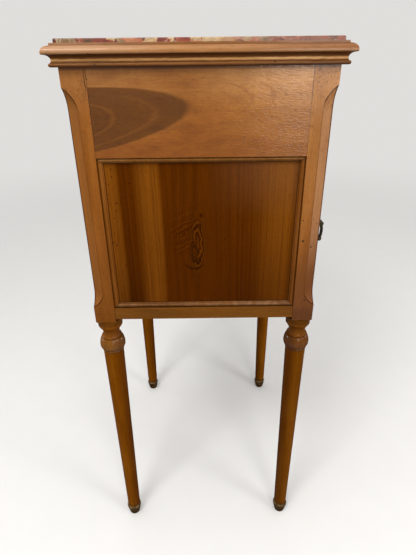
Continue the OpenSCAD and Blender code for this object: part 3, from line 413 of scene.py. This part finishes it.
def joint_line(p, along, end):
    """A thin broken dark line where a rail meets the posts."""
    near = p.span(p.size(along), end - 0.0013, end - 0.0004, smooth=True)
    return p.times(near, p.span(p.noise(p.place, 40, 3), 0.35, 0.6, 0.45, 0.95))


# Pale sapwood stripes in the side panel's dark heartwood, in metres from its middle towards the back:
# where a stripe begins, where it is palest, from and to, and where it ends
HEARTWOOD, SAPWOOD = srgb(79, 36, 0), srgb(113, 63, 12)
PALE_STRIPES = ((-0.145, -0.115, -0.103, -0.066), (0.053, 0.06, 0.077, 0.092), (0.109, 0.114, 0.14, 0.15))


def banded_panel(name, seed, side, knot=(0.008, 0.594), holes=()):
    """Side panel: dark heartwood with pale upright stripes, parted by a knot a little off the middle."""
    p = Paint(name)
    _, streak, fine, pores, cloud = grain(p, "Z", seed)
    _, true_y, z = p.split(p.place)
    y = p.times(true_y, side)
    wave = p.noise(p.mapped(p.place, (seed, 0, 0), (1, 1, 0.3)), 16, 2, 0.5)
    y = p.times_plus(p.minus(wave, 0.5), 0.007, y)
    curl = p.minus(p.noise(p.place, 90, 3, 0.6), 0.5)

    def loop(cy, cz, ry, rz, wild):
        """0 in the middle of an upright oval, 1 on its outline; wild bends the outline."""
        dy = p.calc("DIVIDE", p.minus(y, knot[0] + cy), ry)
        dz = p.calc("DIVIDE", p.minus(z, knot[1] + cz), rz)
        far = p.calc("SQRT", p.calc("ADD", p.times(dy, dy), p.times(dz, dz)))
        return p.times_plus(curl, wild, far), dy

    e, dy = loop(0.0, 0.0, 0.0085, 0.03, 1.1)
    near = p.calc("EXPONENT", p.times(p.times(e, e), -0.16))
    # Grain lines part round the knot and are drawn out above and below it
    parted = p.times_plus(p.times(dy, near), -0.008, y)
    pale = 0.0
    for begin, palest, still, end in PALE_STRIPES:
        stripe = p.times(p.span(parted, begin, palest), p.span(parted, still, end, 1.0, 0.0))
        pale = p.most(pale, stripe)
    colour = p.cover(pale, HEARTWOOD, SAPWOOD)
    waver = p.noise(p.mapped(p.place, (seed, 3, 0), (1, 1, 0.12)), 60, 2)
    line = p.span(p.lines(p.times_plus(waver, 0.004, parted), 420, 4, 0.7), 0.3, 0.7)
    shade = p.sum((line, 0.45), (streak, 0.25), (fine, 0.15), (cloud, 0.15))
    shades = p.ramp(shade, [(0.15, (0.74, 0.7, 0.66, 1)), (0.85, (1.2, 1.2, 1.2, 1))])
    colour = p.stain(1.0, colour, shades)
    colour = p.stain(p.span(z, 0.5, 0.7, 1.0, 0.0), colour, srgb(236, 232, 228))
    strip = p.lines(p.calc("ADD", parted, seed), 150, 2, 0.6)
    strips = p.ramp(strip, [(0.36, (0.91, 0.91, 0.92, 1)), (0.64, (1.1, 1.11, 1.1, 1))])
    colour = p.stain(1.0, colour, strips)
    # The lower corners are darker, the front's upper part is hazy
    ahead = p.span(y, 0.0, -0.07)
    colour = p.stain(p.times(ahead, p.span(z, 0.5, 0.62, 1.0, 0.0)), colour, srgb(222, 216, 212))
    colour = p.stain(p.times(p.span(y, 0.08, 0.1), p.span(z, 0.5, 0.58, 1.0, 0.0)), colour,
                     srgb(216, 218, 226))
    colour = p.cover(p.times(ahead, p.span(z, 0.63, 0.7, 0.0, 0.2)), colour, srgb(140, 96, 62))
    # Curly figure at the knot's height, strongest behind it
    flame = p.lines(p.sum((z, 1.0), (y, 0.5), (p.noise(p.place, 60, 3, 0.6), 0.02)), 260, 3, 0.6)
    above = p.times(p.minus(z, knot[1] + 0.012), 34)
    region = p.calc("EXPONENT", p.times(p.calc("POWER", above, 2), -1.0))
    region = p.times(p.times(region, p.span(y, 0.05, 0.028, 0.0, 1.0)), p.span(y, 0.004, 0.016))
    flames = p.ramp(flame, [(0.4, (0.62, 0.52, 0.4, 1)), (0.6, (1.2, 1.22, 1.2, 1))])
    colour = p.stain(region, colour, flames)
    # The knot: its rings, a smaller and darker one inside, a spot above it and an arc below
    rings = p.ramp(p.span(e, 0, 1.7), [
        (0.0, srgb(88, 42, 0)), (0.15, srgb(78, 34, 0)), (0.25, srgb(34, 8, 0)), (0.35, srgb(94, 47, 3)),
        (0.45, srgb(80, 36, 0)), (0.54, srgb(14, 2, 0)), (0.64, srgb(90, 44, 3)), (0.74, srgb(48, 18, 0)),
        (0.84, srgb(88, 42, 1)), (1.0, srgb(80, 36, 0)),
    ])
    colour = p.cover(p.span(e, 0.9, 1.7, 0.9, 0.0, smooth=True), colour, rings)
    small, _ = loop(0.0055, -0.0135, 0.0052, 0.0155, 1.3)
    dark = p.ramp(p.span(small, 0, 1.3), [
        (0.0, srgb(18, 3, 0)), (0.3, srgb(80, 36, 1)), (0.44, srgb(8, 1, 0)), (0.62, srgb(76, 34, 0)),
        (0.76, srgb(8, 1, 0)), (1.0, srgb(80, 36, 0)),
    ])
    colour = p.cover(p.span(small, 0.9, 1.3, 0.9, 0.0), colour, dark)
    spot, _ = loop(-0.0055, 0.042, 0.004, 0.005, 1.2)
    colour = p.cover(p.span(spot, 0.3, 1.2, 0.7, 0.0, smooth=True), colour, srgb(30, 8, 0))
    under, _ = loop(0.005, -0.022, 0.0165, 0.017, 0.5)
    arc = p.span(p.size(p.minus(under, 1.0)), 0.0, 0.16, 0.75, 0.0, smooth=True)
    arc = p.times(arc, p.span(z, knot[1] - 0.038, knot[1] - 0.03, 1.0, 0.0))
    colour = p.cover(arc, colour, srgb(30, 8, 0))
    # A dark line where the moulding meets the panel: soiling and painted shade
    height_in = p.least(p.minus(z, OPENING_LOW), p.minus(OPENING_HIGH, z))
    edge = p.least(p.minus(RAIL_END, p.size(true_y)), height_in)
    return finish_wood(p, colour, streak, fine, pores, rough=(0.36, 0.48), coat=0.0, varnish=0.04,
                       holes=holes, dirt=0.35, lines=p.span(edge, 0.0077, 0.0086, 0.75, 0.0))


def chamfer_lines(p):
    """How far a place on a post lies outside the chamfer's edge, how far it is along one of the chamfer's
    curved run-outs, and 1 at the chamfer's height."""
    x, y, z = p.split(p.place)
    inward = p.most(p.minus(HALF_D, p.size(y)), p.minus(HALF_W, p.size(x)))
    deep = CHAMFER / math.sqrt(2)
    depths, along = [], []
    for run, start, up in RUN_OUTS:
        radius = (run * run + deep * deep) / (2 * deep)
        dz = p.span(p.times(p.minus(z, start), up), 0.0, run, 0.0, run)
        depths.append(p.minus(p.calc("SQRT", p.minus(radius * radius, p.times(dz, dz))), radius - deep))
        along.append(dz)
    width = p.times(p.least(*depths), math.sqrt(2))
    curved = p.span(p.most(*along), 0.002, 0.012)
    inside = p.times(p.calc("GREATER_THAN", z, CHAMFER_LOW), p.calc("LESS_THAN", z, CHAMFER_HIGH))
    return p.minus(inward, width), curved, inside


def post_wood(name, seed, holes=(), painted_shade=0.3, paler_above=0.0, cracked=False):
    """Corner post with its turned leg: darker and redder below the square part, partly as painted shade,
    and worn bare at the foot. The painted shade on the block's lower end goes from 0 to 1, as does how
    much paler the upper half is, and a cracked post has a split by its top."""
    p = Paint(name)
    broad, streak, fine, pores, cloud = grain(p, "Z", seed)
    tone = p.sum((broad, 0.34), (streak, 0.26), (fine, 0.16), (cloud, 0.24))
    _, y, z = p.split(p.place)
    height = p.times_plus(p.minus(cloud, 0.5), 0.03, z)
    leg, post, pale_top = (p.ramp(tone, evenly(tones)) for tones in (LEG, POST, PALE_TOP_POST))
    colour = p.cover(p.span(height, 0.43, 0.62, smooth=True), leg, post)
    colour = p.cover(p.times(p.span(z, 0.56, 0.7, smooth=True), paler_above), colour, pale_top)
    # Painted shade: a little darker below the upper end
    colour = p.stain(p.span(z, 0.7, 0.78, 0.75, 0.0, smooth=True), colour, srgb(236, 228, 214))
    # Painted shade: darker on a leg's inner side, towards the other legs
    across = p.minus(p.size(y), HALF_D - LEG_INSIDE)
    inner = p.times(p.span(across, -0.014, 0.004, 1.0, 0.0, smooth=True), p.span(z, 0.43, 0.47, 0.8, 0.0))
    colour = p.stain(inner, colour, srgb(184, 168, 140))
    # Painted shade rises from the block's lower end, with a greyer tone near it, more on a shaded post
    lower = p.span(z, 0.5, 0.62, 1.0, 0.0, smooth=True)
    colour = p.stain(p.times(lower, painted_shade), colour, srgb(214, 214, 236))
    on_block = p.span(z, BLOCK_LOW + 0.0005, BLOCK_LOW + 0.0015)
    haze = p.times(p.span(z, 0.5, 0.64, 0.45, 0.0), p.times(on_block, painted_shade))
    colour = p.cover(haze, colour, srgb(112, 70, 46))
    # The chamfer: painted shade in its crease, a painted highlight line along its edge, its face painted
    # lighter, as it catches the light, and painted shade along its outer arris
    beyond, curved, inside = chamfer_lines(p)
    crease = p.times(p.span(p.size(beyond), 0.0004, 0.0012, 1.0, 0.0), inside)
    crease = p.times(crease, p.span(curved, 0, 1, 0.35, 1.0))
    lit_edge = p.times(p.span(p.size(p.calc("ADD", beyond, 0.0014)), 0.0, 0.0008, 0.3, 0.0), inside)
    colour = p.blend("SOFT_LIGHT", lit_edge, colour, srgb(255, 226, 180))
    # The chamfer's face is painted lighter, as it catches the light
    face = p.times(p.calc("LESS_THAN", beyond, 0.0), inside)
    colour = p.stain(face, colour, (1.02, 1.04, 1.1, 1))
    chamfer_light = p.span(z, 0.54, 0.6, 0.02, 0.25) if painted_shade > 0.5 else 0.2
    chamfer_light_tone = srgb(196, 154, 122) if painted_shade > 0.5 else srgb(162, 108, 60)
    colour = p.cover(p.times(face, chamfer_light), colour, chamfer_light_tone)
    # Painted shade along the outer arris of the chamfer's face
    arris = p.span(p.minus(HALF_D, p.size(y)), 0.0012, 0.0026, 0.75, 0.0, smooth=True)
    colour = p.cover(p.times(arris, face), colour, srgb(62, 26, 14))
    # The disc under the block is darker and greyer; the block's lower end gets painted shade, more on a
    # shaded post; the bulb gets a paler, greyer painted sheen, or on a shaded post painted shade
    disc = p.times(p.span(z, BLOCK_LOW - 0.009, BLOCK_LOW - 0.0075),
                   p.span(z, BLOCK_LOW + 0.0005, BLOCK_LOW + 0.0015, 1.0, 0.0))
    colour = p.stain(disc, colour, srgb(214, 218, 250))
    block = p.times(p.span(z, BLOCK_LOW + 0.001, BLOCK_LOW + 0.002), p.span(z, 0.482, 0.496, painted_shade, 0.0))
    colour = p.stain(block, colour, srgb(222, 222, 240))
    bulb = p.times(p.span(z, 0.405, 0.409), p.span(z, 0.432, 0.437, 1.0, 0.0))
    colour = p.stain(bulb, colour, (0.97, 1.15, 2.6, 1) if painted_shade < 0.5 else (0.8, 0.82, 1.2, 1))
    # Specks of old polish round the top, and a lighter top end, a painted highlight
    colour = p.cover(p.span(z, 0.765, 0.805, 0.0, 0.35), colour, srgb(176, 120, 66))
    patchy = p.span(p.noise(p.place, 60, 2), 0.4, 0.55)
    spotted = p.times(p.span(z, 0.7, 0.78, 0.1, 0.25 + 0.35 * painted_shade), patchy)
    speck = p.times(p.span(p.noise(p.place, 260, 4, 0.7), 0.5, 0.6), spotted)
    colour = p.cover(speck, colour, srgb(88, 48, 24))
    # The varnish ends above the foot's pad, whose wood is bare, grey and scuffed
    scuff = p.noise(p.place, 130, 4, 0.65)
    end = p.times_plus(p.minus(scuff, 0.5), 0.012, z)
    bare = p.ramp(scuff, [(0.3, srgb(46, 30, 12)), (0.5, srgb(70, 50, 26)), (0.7, srgb(98, 74, 46))])
    pad = p.span(end, PAD_HIGH - 0.0015, PAD_HIGH + 0.0015, 1.0, 0.0)
    colour = p.cover(pad, colour, bare)
    rim = p.span(p.size(p.minus(z, PAD_RIM)), 0.0, 0.002, 1.0, 0.0)
    colour = p.cover(p.times(rim, p.span(scuff, 0.4, 0.6, 0.1, 0.7)), colour, srgb(136, 114, 82))
    # The bulb and the top are glossy
    bulb_gloss = 0.45 - 0.15 * painted_shade
    gloss = p.ramp(p.span(z, 0.3, 0.8), [((at - 0.3) / 0.5, (k, k, k, 1)) for at, k in (
        (0.406, 0.02), (0.412, bulb_gloss), (0.43, bulb_gloss), (0.445, 0.06), (0.7, 0.1), (0.79, 0.35),
    )])
    if cracked:
        bent = p.times_plus(p.minus(p.noise(p.place, 190, 3, 0.6), 0.5), 0.003, y)
        split = p.span(p.size(p.minus(bent, 0.1362)), 0.0003, 0.0009, 0.85, 0.0)
        by_top = p.times(p.span(z, 0.79, 0.8), p.span(z, 0.812, 0.819, 1.0, 0.3))
        crease = p.most(crease, p.times(split, by_top))
    return finish_wood(p, colour, streak, fine, pores, wear=0.35, dirt=p.span(z, 0.47, 0.5, 0.6, 0.25),
                       reach=0.004, holes=holes, lines=crease, shadow_and_dirt_under_cornice=True,
                       coat=p.times(gloss, p.minus(1.0, face)),
                       varnish=p.span(p.minus(z, p.times(face, 0.8)), 0.4, 0.8, 0.02, 0.22))


def cornice_wood(name, axis, seed):
    """Moulded cornice: painted shade darkens its cove and quirk, and painted highlights lighten its edges,
    which are also worn.
    """
    p = Paint(name)
    broad, streak, fine, pores, cloud = grain(p, axis, seed)
    tone = p.sum((broad, 0.3), (streak, 0.3), (fine, 0.2), (cloud, 0.2))
    colour = p.ramp(tone, evenly(CORNICE))
    _, y, z = p.split(p.place)
    wavy = p.times_plus(p.minus(p.noise(p.place, 70, 3, 0.6), 0.5), 0.0012, z)
    # Painted shade and highlights from the lower edge up; a darker one is also redder
    warm = lambda k: (k, k ** 1.25, k ** 1.5, 1)
    shade = p.ramp(p.span(wavy, CORNICE_LOW, CORNICE_HIGH), [(at, warm(k)) for at, k in (
        (0.0, 0.2), (0.05, 0.3), (0.11, 0.56), (0.165, 0.8),  # the bead, with painted shade underneath
        (0.185, 0.38), (0.205, 0.22),  # the quirk over it, in painted shade
        (0.235, 1.1), (0.28, 2.3), (0.325, 2.1), (0.355, 0.7),  # the cove's lower edge, a painted highlight
        (0.39, 0.34), (0.54, 0.3),  # the cove, in painted shade under the nose
        (0.565, 0.62), (0.62, 0.86), (0.75, 0.92), (0.87, 0.88),  # the nose
        (0.905, 0.55), (0.93, 0.72), (1.0, 0.75),  # the lip, with a painted shade line below it
    )])
    colour = p.stain(1.0, colour, shade)
    # Towards the front the nose and the bead are greyer and darker, painted shade; towards the back the nose
    # is paler, a painted highlight
    nose = p.span(z, NOSE_LOW, NOSE_LOW + 0.004)
    colour = p.stain(p.times(p.span(y, 0.02, -0.13), nose), colour, srgb(206, 194, 196))
    bead = p.span(z, BEAD_HIGH + 0.0005, BEAD_HIGH - 0.0005)
    colour = p.stain(p.times(p.span(y, 0.0, -0.13), bead), colour, srgb(200, 198, 202))
    colour = p.cover(p.times(p.span(y, 0.02, 0.14, 0.0, 0.4), nose), colour, srgb(176, 140, 112))
    flat = p.join(0.0, y, z)
    for nick_y, nick_z in NICKS:
        near = p.distance((0.0, nick_y, nick_z), flat)
        colour = p.cover(p.span(near, 0.0006, 0.0012, 0.9, 0.0), colour, HOLE)
    return finish_wood(p, colour, streak, fine, pores, wear=0.4, dirt=0.5, peel=0.3,
                       coat=p.span(z, NOSE_LOW - 0.001, NOSE_LOW + 0.001, 0.08, 0.3),
                       varnish=p.span(z, NOSE_LOW - 0.001, NOSE_LOW + 0.001, 0.22, 0.4))


def moulding_wood(name, seed):
    """Bead round a panel: soiling and painted shade in its quirks, and painted shade under dull dust on the
    length that faces up.
    """
    p = Paint(name)
    broad, streak, fine, pores, cloud = grain(p, "Z", seed)
    tone = p.sum((broad, 0.3), (streak, 0.2), (fine, 0.2), (cloud, 0.3))
    colour = p.ramp(tone, evenly(BEAD))
    _, y, z = p.split(p.place)
    inward, up, down = p.minus(RAIL_END, p.size(y)), p.minus(z, OPENING_LOW), p.minus(OPENING_HIGH, z)
    below = p.times(p.calc("LESS_THAN", up, MOULDING_WIDE), p.calc("LESS_THAN", up, inward))
    dust = p.times(below, p.span(p.noise(p.place, 120, 3, 0.6), 0.35, 0.65, 0.05, 0.28))
    dust = p.times(dust, p.span(y, 0.06, -0.08, 0.6, 1.5))
    # Painted shade on the length that faces up
    colour = p.stain(below, colour, srgb(198, 205, 212))
    colour = p.stain(p.span(y, -0.121, -0.123), colour, srgb(236, 232, 240))
    colour = p.stain(p.span(z, 0.707, 0.709), colour, (0.78, 0.92, 1.5, 1))
    dull = p.cover(dust, colour, srgb(150, 116, 90))
    # Dark lines: the mitres, and soiling with painted shade in the quirk by the bead and where the moulding
    # meets the panel
    mitre = p.least(p.size(p.minus(inward, up)), p.size(p.minus(inward, down)))
    width = p.least(inward, p.least(up, down))
    groove = p.span(p.size(p.minus(width, BEAD_START)), 0.0002, 0.0006, 0.5, 0.0)
    groove = p.times(groove, p.minus(1.0, below))
    seams = p.most(p.span(mitre, 0.0002, 0.0007, 0.75, 0.0), p.span(width, 0.0068, 0.0073, 0.0, 0.75))
    return finish_wood(p, dull, streak, fine, pores, dirt=0.25, coat=0.08, varnish=0.18,
                       lines=p.most(seams, groove))


# ---------------------------------------------------------------- stone and metals
def marble(name):
    """Red and grey marble: broken patches of cream, grey green, red brown and violet with fine veins."""
    p = Paint(name)
    warp_x = p.noise(p.place, 26, 4, 0.6)
    warp_y = p.noise(p.mapped(p.place, (4, 7, 1), (1, 1, 1)), 31, 4, 0.6)
    x, y, z = p.split(p.place)
    bent = p.join(p.times_plus(warp_x, 0.03, x), p.times_plus(warp_y, 0.03, y), z)
    value = p.split(p.cells(bent, 92)[1])[0]
    front = p.span(y, -0.15, 0.14, 0.3, 0.0)
    mix = p.calc("ADD", p.sum((value, 0.6), (p.noise(p.place, 30, 3, 0.6), 0.4)), p.times(front, 0.5))
    colour = p.ramp(p.span(mix, 0.27, 0.9), [
        (0.0, srgb(90, 68, 52)), (0.14, srgb(160, 138, 104)), (0.3, srgb(196, 168, 126)),
        (0.4, srgb(170, 138, 102)), (0.48, srgb(168, 106, 78)), (0.6, srgb(132, 64, 48)),
        (0.74, srgb(96, 54, 48)), (0.86, srgb(150, 90, 72)), (1.0, srgb(176, 116, 94)),
    ])
    # The front end is redder, the back end greyer
    red = p.ramp(p.sum((value, 0.5), (p.noise(p.place, 60, 3, 0.6), 0.5)), [
        (0.2, srgb(80, 38, 32)), (0.4, srgb(122, 64, 48)), (0.55, srgb(150, 86, 64)),
        (0.65, srgb(96, 50, 40)), (0.8, srgb(166, 116, 84)),
    ])
    colour = p.cover(p.span(y, 0.0, -0.12, 0.0, 0.9), colour, red)
    colour = p.stain(p.span(y, 0.13, 0.15), colour, srgb(170, 158, 150))
    fleck = p.span(p.noise(p.place, 420, 3, 0.7), 0.35, 0.65)
    colour = p.stain(1.0, colour, p.ramp(fleck, [(0, (0.8, 0.78, 0.76, 1)), (1, (1.1, 1.1, 1.1, 1))]))
    vein = p.cells(bent, 34, "DISTANCE_TO_EDGE")[0]
    pale = p.times(p.span(vein, 0.004, 0.03, 0.5, 0.0), p.span(y, -0.06, 0.03, 0.25, 1.0))
    colour = p.cover(pale, colour, srgb(190, 172, 146))
    crack = p.cells(p.mapped(bent, (3, 5, 2), (1, 1, 1)), 70, "DISTANCE_TO_EDGE")[0]
    colour = p.cover(p.span(crack, 0.002, 0.02, 0.6, 0.0), colour, srgb(70, 48, 44))
    p.set(Base_Color=colour, Roughness=p.span(fleck, 0, 1, 0.24, 0.4), Specular_IOR_Level=0.25,
          Normal=p.bump(fleck, 0.08, 0.0003))
    return p.material


def metal(name, dark, light, bright, rough, metallic=0.9, wear=0.6, seed=0):
    """Old metal: a mottled patina, with brighter worn edges."""
    p = Paint(name)
    spots = p.noise(p.mapped(p.place, (seed, 0, 0), (1, 1, 1)), 260, 4, 0.65)
    cloud = p.noise(p.place, 60, 2)
    colour = p.ramp(p.sum((spots, 0.6), (cloud, 0.4)), [(0.35, dark), (0.65, light)])
    worn = p.times(p.span(p.edges(0.0009), 0.3, 0.9, wear, 0.0), p.span(spots, 0.3, 0.6, 0.4, 1.0))
    colour = p.cover(worn, colour, bright)
    darkening = p.span(p.hollows(0.004), 0.35, 0.9, 0.7, 0.0)
    colour = p.cover(darkening, colour, tint(dark, 0.4))
    p.set(Base_Color=colour, Metallic=metallic, Roughness=p.span(spots, 0.3, 0.7, rough[0], rough[1]),
          Normal=p.bump(p.sum((spots, 0.7), (p.noise(p.place, 900, 2), 0.3)), 0.25, 0.0004))
    return p.material


# ---------------------------------------------------------------- dressing the nodes
def dress(names, material):
    for name in names.split():
        mesh = nodes[name].data
        mesh.materials.clear()
        mesh.materials.append(material)


dress("marble_top", marble("marble_red_grey"))
dress("cornice_front", cornice_wood("cornice_front_wood", "X", 11))
dress("cornice_back", cornice_wood("cornice_back_wood", "X", 12))
dress("cornice_left", cornice_wood("cornice_left_wood", "Y", 13))
dress("cornice_right", cornice_wood("cornice_right_wood", "Y", 14))
dress("post_front_left", post_wood("post_front_left_wood", 21, POST_HOLES, painted_shade=1.0, paler_above=0.8))
dress("post_front_right", post_wood("post_front_right_wood", 22))
dress("post_back_left", post_wood("post_back_left_wood", 23, cracked=True))
dress("post_back_right", post_wood("post_back_right_wood", 24))
dress("side_top_rail_left", tongue_rail("rail_heartwood_left", 31))
dress("side_top_rail_right",
      wood("top_rail_right_wood", "Y", GOLD, 32, contrast=1.1, end=RAIL_END, peel=0.5, coat=0.2))
dress("side_low_rail_left",
      wood("low_rail_left_wood", "Y", LOW_RAIL, 33, end=RAIL_END, varnish=0.15, coat=0.06))
dress("side_low_rail_right", wood("low_rail_right_wood", "Y", LOW_RAIL, 34, end=RAIL_END))
dress("side_panel_left", banded_panel("panel_left_wood", 41, 1, holes=PANEL_HOLES))
dress("side_panel_right", banded_panel("panel_right_wood", 42, -1, knot=(-0.03, 0.64)))
dress("back_panel", wood("back_panel_wood", "Z", BROWN, 43))
dress("door_panel", wood("door_panel_wood", "Z", BROWN, 44, contrast=1.2))
dress("side_moulding_left side_moulding_right", moulding_wood("side_moulding_wood", 45))
dress("door_moulding", wood("door_moulding_wood", "Z", BEAD, 46, contrast=0.7, dirt=0.9))
dress("back_top_rail", wood("back_top_rail_wood", "X", GOLD, 51, end=CROSS_END))
dress("back_low_rail", wood("back_low_rail_wood", "X", LOW_RAIL, 52, end=CROSS_END))
dress("front_top_rail", wood("front_top_rail_wood", "X", GOLD, 53, end=CROSS_END))
dress("front_middle_rail", wood("front_middle_rail_wood", "X", GOLD, 54, end=CROSS_END))
dress("front_low_rail", wood("front_low_rail_wood", "X", LOW_RAIL, 55, end=CROSS_END))
dress("drawer_front", wood("drawer_front_wood", "X", GOLD, 56, contrast=1.2))
dress("door_stile_left", wood("door_stile_left_wood", "Z", GOLD, 57))
dress("door_stile_right", wood("door_stile_right_wood", "Z", GOLD, 58))
dress("door_rail_top", wood("door_rail_top_wood", "X", GOLD, 59))
dress("door_rail_bottom", wood("door_rail_bottom_wood", "X", GOLD, 60))
plain = dict(coat=0.0, rough=(0.6, 0.8), dirt=0.6, wear=0.2, varnish=0.2)
dress("sub_top", wood("sub_top_oak", "X", OAK, 61, **plain))
dress("bottom_board dust_board drawer_bottom", wood("board_oak", "X", OAK, 62, **plain))
dress("drawer_side_left drawer_side_right", wood("drawer_side_oak", "Y", OAK, 63, **plain))
dress("drawer_back drawer_stops", wood("drawer_back_oak", "X", OAK, 64, **plain))
dress("drawer_runner_left drawer_runner_right drawer_kicker_left drawer_kicker_right",
      wood("runner_oak", "Y", OAK, 65, **plain))
dress("cornice_dowels", wood("dowel_oak", "Z", OAK, 66, **plain))
bronze = dict(dark=srgb(30, 24, 18), light=srgb(62, 54, 36), bright=srgb(120, 110, 72), rough=(0.3, 0.55))
dress("door_pull_plate drawer_pull_plate", metal("plate_bronze", **bronze))
dress("door_pull_drop drawer_pull_drop", metal("drop_bronze", seed=3, **bronze))
dress("door_pull_pin drawer_pull_pin door_pull_screws drawer_pull_screws",
      metal("pin_bronze", seed=5, **bronze))
brass = metal("aged_brass", srgb(96, 74, 36), srgb(148, 120, 66), srgb(200, 172, 104), (0.35, 0.6), 0.95)
dress("hinge_upper_post_leaf hinge_lower_post_leaf hinge_upper_door_leaf hinge_lower_door_leaf", brass)
dress("hinge_pins lock_case", brass)
dress("hinge_post_screws door_screws lock_bolt",
      metal("dull_steel", srgb(80, 78, 74), srgb(128, 126, 122), srgb(170, 168, 164), (0.35, 0.6), 0.95))

# Softened edges: the welded mesh gets a small bevel, and shading follows the larger faces. A piece
# gets the width of the first word here that is in its name, or else the plain width.
BEVELS = {"pull": 0.0002, "hinge": 0.0002, "lock": 0.0002, "marble_top": 0.0012, "post": 0.00025,
          "cornice": 0.0004, "moulding": 0.00025}
PLAIN_BEVEL = 0.0005
for name, piece in nodes.items():
    if "screws" in name or "dowels" in name:
        continue
    weld = piece.modifiers.new("weld", "WELD")
    weld.merge_threshold = 0.00001
    bevel = piece.modifiers.new("bevel", "BEVEL")
    bevel.width = next((width for word, width in BEVELS.items() if word in name), PLAIN_BEVEL)
    bevel.segments = 1
    bevel.limit_method = "ANGLE"
    bevel.angle_limit = math.radians(38)
    bevel.harden_normals = False
    shade = piece.modifiers.new("shade", "WEIGHTED_NORMAL")
    shade.mode = "FACE_AREA"
    shade.weight = 80


# ---------------------------------------------------------------- floor, backdrop and light
PALE = (0.74, 0.73, 0.71, 1)
FLOOR_RADIUS, FLOOR_CORNERS = 14.0, 64


def seen_straight(tree):
    """1 for rays from the camera and in mirrors and glass, 0 for the light that the surface throws back."""
    path = tree.nodes.new("ShaderNodeLightPath")
    total = path.outputs["Is Camera Ray"]
    for key in ("Is Glossy Ray", "Is Transmission Ray"):
        add = tree.nodes.new("ShaderNodeMath")
        add.operation = "ADD"
        add.use_clamp = True
        tree.links.new(total, add.inputs[0])
        tree.links.new(path.outputs[key], add.inputs[1])
        total = add.outputs[0]
    return total


def add_floor():
    mesh = bpy.data.meshes.new("floor")
    turns = [2 * math.pi * i / FLOOR_CORNERS for i in range(FLOOR_CORNERS)]
    ring = [(FLOOR_RADIUS * math.cos(turn), FLOOR_RADIUS * math.sin(turn), 0) for turn in turns]
    mesh.from_pydata(ring, [], [list(range(FLOOR_CORNERS))])
    floor = bpy.data.objects.new("floor", mesh)
    bpy.context.scene.collection.objects.link(floor)
    p = Paint("floor_plain")
    tree = p.tree
    # Pale where it is seen, but it throws back only a carpet's brown light
    seen = p.add("ShaderNodeBsdfDiffuse")
    mottle = p.ramp(p.noise(p.place, 18, 3, 0.5), [(0.3, tint(PALE, 0.985)), (0.7, PALE)])
    p.plug(seen.inputs["Color"], mottle)
    dull = p.add("ShaderNodeBsdfDiffuse")
    dull.inputs["Color"].default_value = (0.2, 0.18, 0.16, 1)
    shown = p.add("ShaderNodeMixShader")
    p.plug(shown.inputs[0], seen_straight(tree))
    tree.links.new(dull.outputs[0], shown.inputs[1])
    tree.links.new(seen.outputs[0], shown.inputs[2])
    # Far out the floor turns into the colour of the backdrop
    far = p.add("ShaderNodeEmission")
    far.inputs["Color"].default_value = PALE
    spread = p.add("ShaderNodeVectorMath", operation="LENGTH")
    p.plug(spread.inputs[0], p.place)
    fade = p.times(p.span(spread.outputs["Value"], 0.9, 3.2, smooth=True), seen_straight(tree))
    both = p.add("ShaderNodeMixShader")
    p.plug(both.inputs[0], fade)
    tree.links.new(shown.outputs[0], both.inputs[1])
    tree.links.new(far.outputs[0], both.inputs[2])
    out = next(node for node in tree.nodes if node.type == "OUTPUT_MATERIAL")
    tree.links.new(both.outputs[0], out.inputs["Surface"])
    tree.nodes.remove(p.shader)
    mesh.materials.append(p.material)


def add_world():
    world = bpy.data.worlds.new("studio")
    bpy.context.scene.world = world
    world.use_nodes = True
    tree = world.node_tree
    background = tree.nodes["Background"]
    coord = tree.nodes.new("ShaderNodeTexCoord")
    split = tree.nodes.new("ShaderNodeSeparateXYZ")
    tree.links.new(coord.outputs["Generated"], split.inputs[0])
    ramp = tree.nodes.new("ShaderNodeMapRange")
    tree.links.new(split.outputs[2], ramp.inputs[0])
    for socket, value in zip(list(ramp.inputs)[1:5], (-0.1, 0.9, 0.1, 0.75)):
        socket.default_value = value
    mix = tree.nodes.new("ShaderNodeMix")
    mix.data_type = "RGBA"
    tree.links.new(seen_straight(tree), mix.inputs[0])
    tree.links.new(ramp.outputs[0], mix.inputs[6])
    mix.inputs[7].default_value = PALE
    tree.links.new(mix.outputs[2], background.inputs["Color"])
    background.inputs["Strength"].default_value = 1.0


def add_lamp(name, place, target, size, watts, colour=(1, 1, 1), spread=180):
    data = bpy.data.lights.new(name, "AREA")
    data.spread = math.radians(spread)
    data.shape = "RECTANGLE"
    data.size, data.size_y = size
    data.energy = watts
    data.color = colour
    lamp = bpy.data.objects.new(name, data)
    bpy.context.scene.collection.objects.link(lamp)
    lamp.location = place
    lamp.rotation_mode = "QUATERNION"
    lamp.rotation_quaternion = (Vector(target) - Vector(place)).to_track_quat("-Z", "Y")
    lamp.visible_camera = False


add_floor()
add_world()
add_lamp("window_front", (-2.2, -0.62, 1.25), (-0.2, -0.1, 0.9), (0.52, 1.35), 17, (1, 0.985, 0.96))
add_lamp("window_far", (-1.7, -2.2, 1.6), (-0.2, 0, 0.65), (0.8, 1.4), 26, (1, 0.985, 0.96))
add_lamp("ceiling_left", (-1.5, 0.8, 2.5), (-0.2, 0, 0.75), (0.8, 0.8), 32)
add_lamp("ceiling", (-0.4, 0.3, 2.9), (0, 0, 0.4), (2.2, 2.2), 26)
add_lamp("fill_front", (0.5, -2.4, 0.8), (0, 0, 0.72), (0.9, 0.9), 0.9, spread=30)
add_lamp("fill_back", (0.4, 2.4, 0.8), (0, 0, 0.72), (0.9, 0.9), 1.1, spread=30)
add_lamp("fill_right", (2.4, 0.1, 0.8), (0, 0, 0.72), (0.9, 0.9), 1.1, spread=30)
